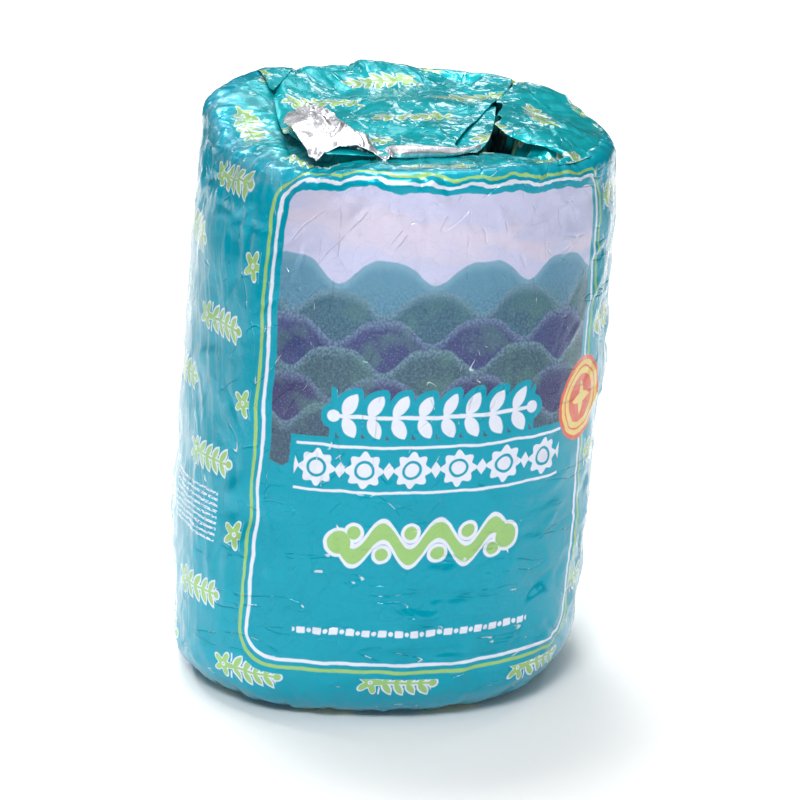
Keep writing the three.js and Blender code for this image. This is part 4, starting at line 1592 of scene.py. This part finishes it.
@dataclass(frozen=True)
class SoftBox:
    """A plain soft light: where it stands, what it faces, its size in metres and its power."""

    name: str
    place: tuple[float, float, float]
    size: Pair
    power: float
    aim: tuple[float, float, float] = (0.0, 0.0, 0.1)
    spread: float = 180.0

    def build(self) -> None:
        """Adds the light."""
        lamp = bpy.data.lights.new(self.name, "AREA")
        lamp.shape = "RECTANGLE"
        lamp.size, lamp.size_y = self.size
        lamp.energy = self.power
        lamp.spread = math.radians(self.spread)
        holder = put_in_scene(self.name, lamp)
        holder.location = self.place
        towards = Vector(self.aim) - Vector(self.place)
        holder.rotation_euler = towards.to_track_quat("-Z", "Y").to_euler()


@dataclass(frozen=True)
class Studio:
    """A plain pale floor, soft white light and the camera at the photograph's angle."""

    azimuth: float = -14.75
    distance: float = 1.0
    height: float = 0.409
    aim_right: float = 0.009366
    aim_up: float = 0.08707
    roll: float = 1.0
    lens: float = 145.0
    lights: tuple[SoftBox, ...] = (
        SoftBox("front_key", (-0.45, -0.95, 1.1), (0.42, 0.36), 13.0),
        SoftBox("overhead", (0.0, 0.6, 1.9), (0.5, 0.5), 1.4, (0.05, 0.22, 0.0), 44.0),
        SoftBox("low_front", (-0.5, -1.2, 0.42), (0.16, 0.16), 1.6),
        SoftBox("low_back", (-0.05, 1.15, 0.56), (0.24, 0.08), 0.25),
        SoftBox("back_left", (-0.5, 1.0, 0.8), (0.16, 0.2), 0.6),
        SoftBox("back_right", (0.4, 1.1, 0.62), (0.14, 0.14), 0.3),
        SoftBox("left_floor", (-0.5, 0.45, 0.9), (0.12, 0.12), 0.3, (-0.2, 0.13, 0.0), 24.0),
        SoftBox("right_floor", (0.9, 0.4, 1.0), (0.2, 0.2), 0.25, (0.42, 0.1, 0.0), 35.0),
        SoftBox("far_floor", (0.2, 1.5, 2.2), (0.6, 0.4), 12.0, (0.2, 1.4, 0.0), 70.0),
        SoftBox("right_side", (1.0, -0.4, 0.5), (0.4, 0.5), 1.1),
        SoftBox("back_high", (0.35, 1.3, 1.75), (0.9, 0.8), 4.4),
    )

    def build(self) -> None:
        """Makes the floor, the light and the camera."""
        self.floor()
        self.sky()
        for light in self.lights:
            light.build()
        self.camera()

    def floor(self) -> None:
        """Makes the pale matt floor."""
        mesh = bpy.data.meshes.new("floor")
        corners = [(x * 3, y * 3, -0.0003) for x, y in ((-1, -1), (1, -1), (1, 1), (-1, 1))]
        mesh.from_pydata(corners, [], [(0, 1, 2, 3)])
        paper = new_material("matt_white_paper")
        shade(paper.node_tree, {"Base Color": srgb("#f3f3f3"), "Roughness": 0.8})
        mesh.materials.append(paper)
        put_in_scene("floor", mesh)

    def sky(self) -> None:
        """Makes the white surroundings, which fade to grey towards the horizon."""
        world = bpy.data.worlds.new("white_room")
        world.use_nodes = True
        back = world.node_tree.nodes["Background"]
        back.inputs["Color"].default_value = srgb("#ffffff")
        facing = add_node(world.node_tree, "ShaderNodeTexCoord", output="Generated")
        up = add_node(world.node_tree, "ShaderNodeSeparateXYZ", (facing,), 2)
        strength = up.ramp(0.35, 1.0) * 0.6 + 0.03
        world.node_tree.links.new(strength.socket, back.inputs["Strength"])
        bpy.context.scene.world = world
        bpy.context.scene.view_settings.view_transform = "Standard"

    def camera(self) -> None:
        """Makes the camera."""
        a, roll = math.radians(self.azimuth), math.radians(self.roll)
        place = Vector((math.sin(a), -math.cos(a), 0.0)) * self.distance
        place.z = self.height
        aim = Vector((math.cos(a), math.sin(a), 0.0)) * self.aim_right
        aim.z = self.aim_up
        ahead = (aim - place).normalized()
        side = ahead.cross(Vector((0, 0, 1))).normalized()
        up = side.cross(ahead)
        c, s = math.cos(roll), math.sin(roll)
        turned = Matrix((c * side + s * up, c * up - s * side, -ahead)).transposed().to_4x4()
        lens = bpy.data.cameras.new("camera")
        lens.lens, lens.sensor_width = self.lens, 36.0
        lens.clip_start, lens.clip_end = 0.05, 20.0
        viewer = put_in_scene("camera", lens)
        viewer.matrix_world = Matrix.Translation(place) @ turned
        bpy.context.scene.camera = viewer


def main() -> None:
    """Builds the studio and every piece."""
    logging.basicConfig(level=logging.INFO, format="%(message)s")
    Studio().build()
    shop = Workshop(PrintedFoil().material(), BareFoil().material(), CrumpleTool())
    shape = WrappedShape()
    flap, side_fold = FlapShape(shape), SideFoldShape(shape)
    wrapper = Wrapper(shape, flap, side_fold)
    pleat = SmallFold("foil_pleat", flap, ((23, 12), (-1, -36)), flap.right[3::-1], -1.0, 41)
    tab_edges = ((-41.5, 45.5), (-41.5, 25)), ((-28, 51), (-31, 42), (-40.5, 24.5))
    tab = SmallFold("foil_tab", flap, *tab_edges, 0.2, 43, 1.2)
    for maker in (wrapper, BackFlap(flap), pleat, tab, SideFold(side_fold), SilverEdge(shape)):
        piece = maker.build(shop)
        LOG.info("%s: %d faces", piece.name, len(piece.data.polygons))


if __name__ == "__main__":
    main()
